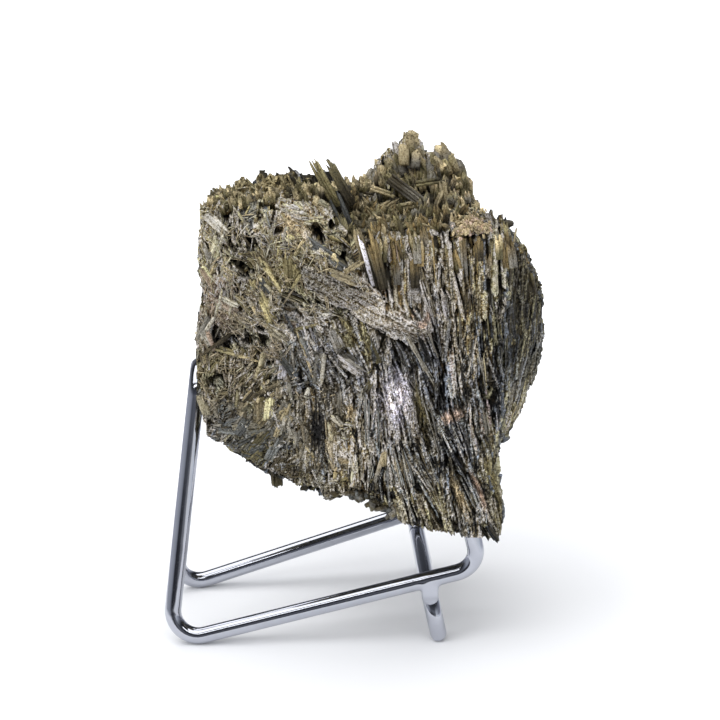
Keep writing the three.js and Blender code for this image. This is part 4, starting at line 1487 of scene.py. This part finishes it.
# Stubby ones stand on the top, behind and along the crest of the fan.
roots = along_line(rng, CREST_BACK, 60, (0.6, 1.0, 0.5))
stubs = [stand(rng, roots, (-0.05, -0.1, 1), (0.8, 2.0), (0.6, 1.9), 0.3,
               "umber olive grey", "moss straw olive grey")]
roots = top.lift(scatter(rng, [(37, -15), (37, -1), (56, -1), (58, -15)], 300))
stubs.append(stand(rng, roots, (-0.05, -0.2, 1), (1.2, 3.2), (0.4, 1.3), 0.5,
                   "umber olive moss umber", "moss gold olive straw"))
places = rng.uniform(39, 66.8, 130)
row = rng.uniform(0, 1, 130)
below = 3.4 * (1 - row) + abs(rng.normal(0, 1.3, 130))
roots = np.stack([places, row * 5 - 17.6, crest(places) - below], axis=1)
stubs.append(stand(rng, roots, (-0.06, 0, 1), (0.1, 0.6), (0.4, 1.6), 0.08,
                   "moss gold grey umber", "gold straw gold moss", sink=4))

# Blocky ones edge the left top, the gap and the ridge, and small rose ones lie near the high corner.
blocks = []
for line, count, spread, upward, length, width, splay, tones, crowns in (
        (LEFT_TOP, 90, (0.4, 1.4, 0.7), (0, -0.15, 1), (0.8, 2.0), (0.7, 1.8), 0.25,
         "olive moss umber straw", "moss straw olive straw"),
        (LEFT_TOP_BACK, 130, (0.5, 4, 0.5), (0, 0, 1), (0.3, 1.2), (0.7, 2.0), 0.25,
         "olive moss umber", "moss straw moss"),
        (GAP, 40, (0.5, 1.6, 0.5), (0, -0.1, 1), (0.8, 1.8), (0.7, 1.8), 0.3,
         "moss straw olive", "moss straw straw"),
        (RIDGE_FRONT, 24, (0.8, 1.2, 1.2), (-0.04, -0.15, 1), (1.2, 3.0), (0.8, 2.0), 0.16,
         "umber moss grey", "moss straw olive buff"),
        (ROSE_TIPS, 360, (0.5, 1.3, 0.4), (0, -0.4, 1), (0.1, 0.6), (0.3, 0.8), 0.6,
         "buff rose straw", "buff rose buff")):
    roots = along_line(rng, line, count, spread)
    group = stand(rng, roots, upward, length, width, splay, tones, crowns)
    if line in (LEFT_TOP, LEFT_TOP_BACK, GAP):
        rooted = top.read(top.facing, group["root"][:, :2]) > 0.3
        group = {key: value[rooted] for key, value in group.items()}
    blocks.append(group)

# Pointed ones stand on the ridge's face. Lumps hang under the lower edge.
roots = along_line(rng, RIDGE_FRONT, 40, (0.8, 1.4, 1.2))
points = [stand(rng, roots, (-0.04, -0.15, 1), (1.2, 3.4), (0.6, 1.8), 0.16,
                "umber moss grey", "moss straw olive buff")]
roots = front.lift(scatter(rng, RIDGE_FACE, 120), -1.0)
points.append(stand(rng, roots, (-0.06, -0.22, 1), (0.9, 2.2), (0.7, 1.5), 0.14,
                    "moss straw grey", "straw moss buff moss"))
grow("stubby_crystals", STUB, rng, stubs, blade=0.7)
roots = along_line(rng, LOWER_EDGE, 40, (0.5, 1.2, 0.5))
lumps = [stand(rng, roots, (0.1, -0.15, -1), (0.2, 1.0), (1.4, 3.2), 0.5,
               "umber olive slate", "olive grey umber")]
roots = along_line(rng, LOWER_CORNER, 16, (0.3, 0.5, 0.3))
lumps.append(stand(rng, roots, (0.3, -0.15, -1), (0.2, 0.8), (2.4, 3.6), 0.3,
                   "umber slate grey", "grey olive slate"))
grow("lower_lumps", BLOCK, rng, lumps, blade=1.1)
grow("blocky_crystals", BLOCK, rng, blocks)
grow("pointed_crystals", NEEDLE, rng, points)


# ---- Single crystals -------------------------------------------------------------------------
# The large ones that stand out: the spikes at the top, the bright blade with its painted highlight,
# the diagonal blades, the long laths of the fan and the stubs under the lower edge.
def listed(table):
    """Crystals from a table, for grow."""
    keys = ("root", "tip", "width", "depth", "spin", "tone", "crown")
    group = dict(zip(keys, zip(*table)))
    for key in ("tone", "crown"):
        group[key] = [TONES[name] for name in group[key]]
    group["facing"] = [TO_FRONT] * len(table)
    return {key: np.array(values, float) for key, values in group.items()}


# Each has a root, a tip, a width, a depth, a spin, a tone at its root and one at its tip.
SINGLES = [
    ((35.5, -8.5, 84.2), (31.3, -8, 92.7), 1.8, 1.0, 0.2, "olive", "moss"),
    ((38.2, -8.5, 84.4), (34.1, -8, 92.7), 1.7, 1.0, -0.2, "umber", "moss"),
    ((38.4, -14.2, 74.4), (35.3, -10.2, 83.4), 2.3, 1.0, 0.3, "umber", "moss"),
    ((37.9, -13, 77.5), (34.2, -8.8, 85.0), 1.1, 0.8, 0.6, "slate", "slate"),
    ((39.2, -13, 78.0), (35.4, -8.6, 86.6), 1.0, 0.8, 0.2, "black", "slate"),
    ((41.6, -19.0, 71.4), (38.7, -18.6, 82.0), 2.1, 1.6, 0.3, "umber", "straw"),
    # A painted highlight: the pale streak where the bright blade's face would mirror the light.
    ((41.1, -20.3, 72.0), (39.0, -20.0, 80.6), 0.85, 0.5, -0.2, "silver", "glint"),
    ((43.1, -19.2, 71.0), (40.9, -18.8, 81.4), 1.7, 1.2, 0.3, "umber", "gold"),
    ((36.0, -18.8, 74.4), (39.8, -19.6, 76.8), 0.9, 0.5, 0.2, "straw", "straw"),
    ((32.4, -17.2, 72.2), (37.3, -19.2, 74.9), 0.5, 0.35, 0.2, "straw", "buff"),
    ((35.4, -18, 74.2), (34.0, -17.8, 77.3), 1.2, 0.7, 0.2, "moss", "straw"),
    ((18.0, -13.2, 82.4), (23.7, -14.9, 80.8), 1.8, 0.8, 0.1, "grey", "silver"),
    ((16.6, -13.6, 79.9), (20.2, -14.8, 75.0), 0.7, 0.5, 0.2, "moss", "straw"),
    ((17.4, -13.8, 80.2), (20.9, -14.9, 75.6), 0.6, 0.5, 0.2, "grey", "moss"),
    ((15.9, -13.4, 79.4), (19.4, -14.6, 74.8), 0.6, 0.5, 0.2, "umber", "moss"),
    ((29.0, -15.9, 80.0), (36.6, -18.5, 74.9), 1.9, 0.9, 0.1, "slate", "slate"),
    ((45.9, 3, 86.6), (52.9, -2, 81.6), 2.2, 1.0, 0.2, "umber", "grey"),
    ((45.4, 4.2, 87.2), (53.0, -1, 82.8), 0.9, 0.6, 0.2, "moss", "straw"),
    ((39.4, -3, 79.2), (46.4, -1, 83.0), 1.7, 0.8, 0.1, "moss", "straw"),
    ((46.6, -2, 82.0), (50.8, -2.6, 82.6), 1.4, 0.8, 0.1, "moss", "straw"),
    ((50.6, -1, 86.2), (56.2, 0, 86.6), 1.2, 0.8, 0.1, "moss", "umber"),
    ((42.0, 0, 85.6), (46.4, -2, 84.4), 1.0, 0.7, 0.1, "straw", "moss"),
    ((56.4, -3, 78.0), (55.5, -1, 86.4), 1.4, 0.9, 0.2, "umber", "straw"),
    ((52.8, -3, 79.4), (55.4, -1.6, 84.8), 1.0, 0.7, 0.2, "umber", "straw"),
    ((57.6, -17.4, 72.4), (57.3, -16.8, 79.8), 1.9, 1.2, 0.2, "grey", "gold"),
    ((48.8, -17.9, 70.6), (48.9, -17.0, 76.6), 1.5, 1.0, 0.2, "umber", "gold"),
    ((60.6, -17.0, 75.0), (60.7, -16.6, 79.4), 1.6, 1.0, 0.2, "umber", "gold"),
    ((66.1, -15.8, 72.8), (67.8, -14.5, 80.4), 0.3, 0.3, 0.2, "straw", "straw"),
    ((72.0, -3.4, 64.8), (70.8, -4, 69.4), 2.2, 1.6, 0.2, "umber", "olive"),
    ((71.3, -4.2, 70.8), (69.0, -4.8, 74.6), 0.7, 0.6, 0.2, "gold", "gold"),
    ((11.3, -13.8, 59.9), (19.5, -15.2, 57.5), 1.1, 0.6, 0.2, "moss", "straw"),
    ((18.0, -14.6, 67.1), (22.0, -15.3, 63.0), 0.7, 0.5, 0.2, "grey", "buff"),
    ((27.0, -16.2, 63.0), (29.8, -16.4, 53.8), 0.6, 0.5, 0.2, "straw", "buff"),
    ((26.8, -16.0, 63.2), (32.6, -16.6, 64.4), 0.7, 0.5, 0.2, "moss", "straw"),
    ((29.1, -16.2, 58.8), (26.8, -15.6, 63.2), 1.0, 0.6, 0.2, "gold", "olive"),
    ((41.8, -19.4, 57.2), (39.2, -19.8, 63.2), 1.2, 0.7, 0.2, "olive", "olive"),
    ((38.9, -18.6, 51.0), (40.7, -18.9, 54.0), 1.2, 0.7, 0.2, "umber", "moss"),
    ((39.9, -19.9, 32.6), (42.2, -20.4, 40.2), 0.8, 0.6, 0.2, "grey", "buff"),
    ((42.2, -20.4, 37.4), (42.2, -20.6, 40.4), 0.9, 0.7, 0.2, "straw", "straw"),
    ((22.0, -10, 34.6), (22.2, -10, 30.4), 2.2, 1.6, 0.2, "umber", "olive"),
    ((10.8, -9.4, 45.5), (10.4, -9.4, 40.2), 1.9, 1.6, 0.2, "umber", "olive"),
    ((12.4, -10, 44.5), (11.6, -9.8, 40.6), 1.7, 1.4, 0.2, "slate", "umber"),
    ((31.4, -11.5, 31.6), (30.4, -11, 28.6), 1.0, 0.8, 0.2, "olive", "umber"),
    ((34.4, -12, 30.0), (31.2, -11, 27.8), 1.8, 1.2, 0.2, "olive", "grey"),
]
grow("single_crystals", LATH, rng, [listed(SINGLES)], bow=0.004)


# ---- Ridge blades ----------------------------------------------------------------------------
# Broad olive and grey blades of epidote stand side by side along the ridge's skyline, behind the
# gap. They are rooted well under it, so only their ends show.
places = rng.uniform(42, 65, 90)
heights = rng.uniform(8, 12, 90)
roots = np.stack([places, heights, skyline(places) - 1.8 - np.abs(rng.normal(0, 1.6, 90))], axis=1)
blades = stand(rng, roots, (-0.05, 0, 1), (0.6, 1.5), (0.9, 3.0), 0.2,
               "moss grey straw grey", "moss straw grey straw", sink=2.5)
grow("ridge_blades", BLOCK, rng, [blades], blade=1.8)
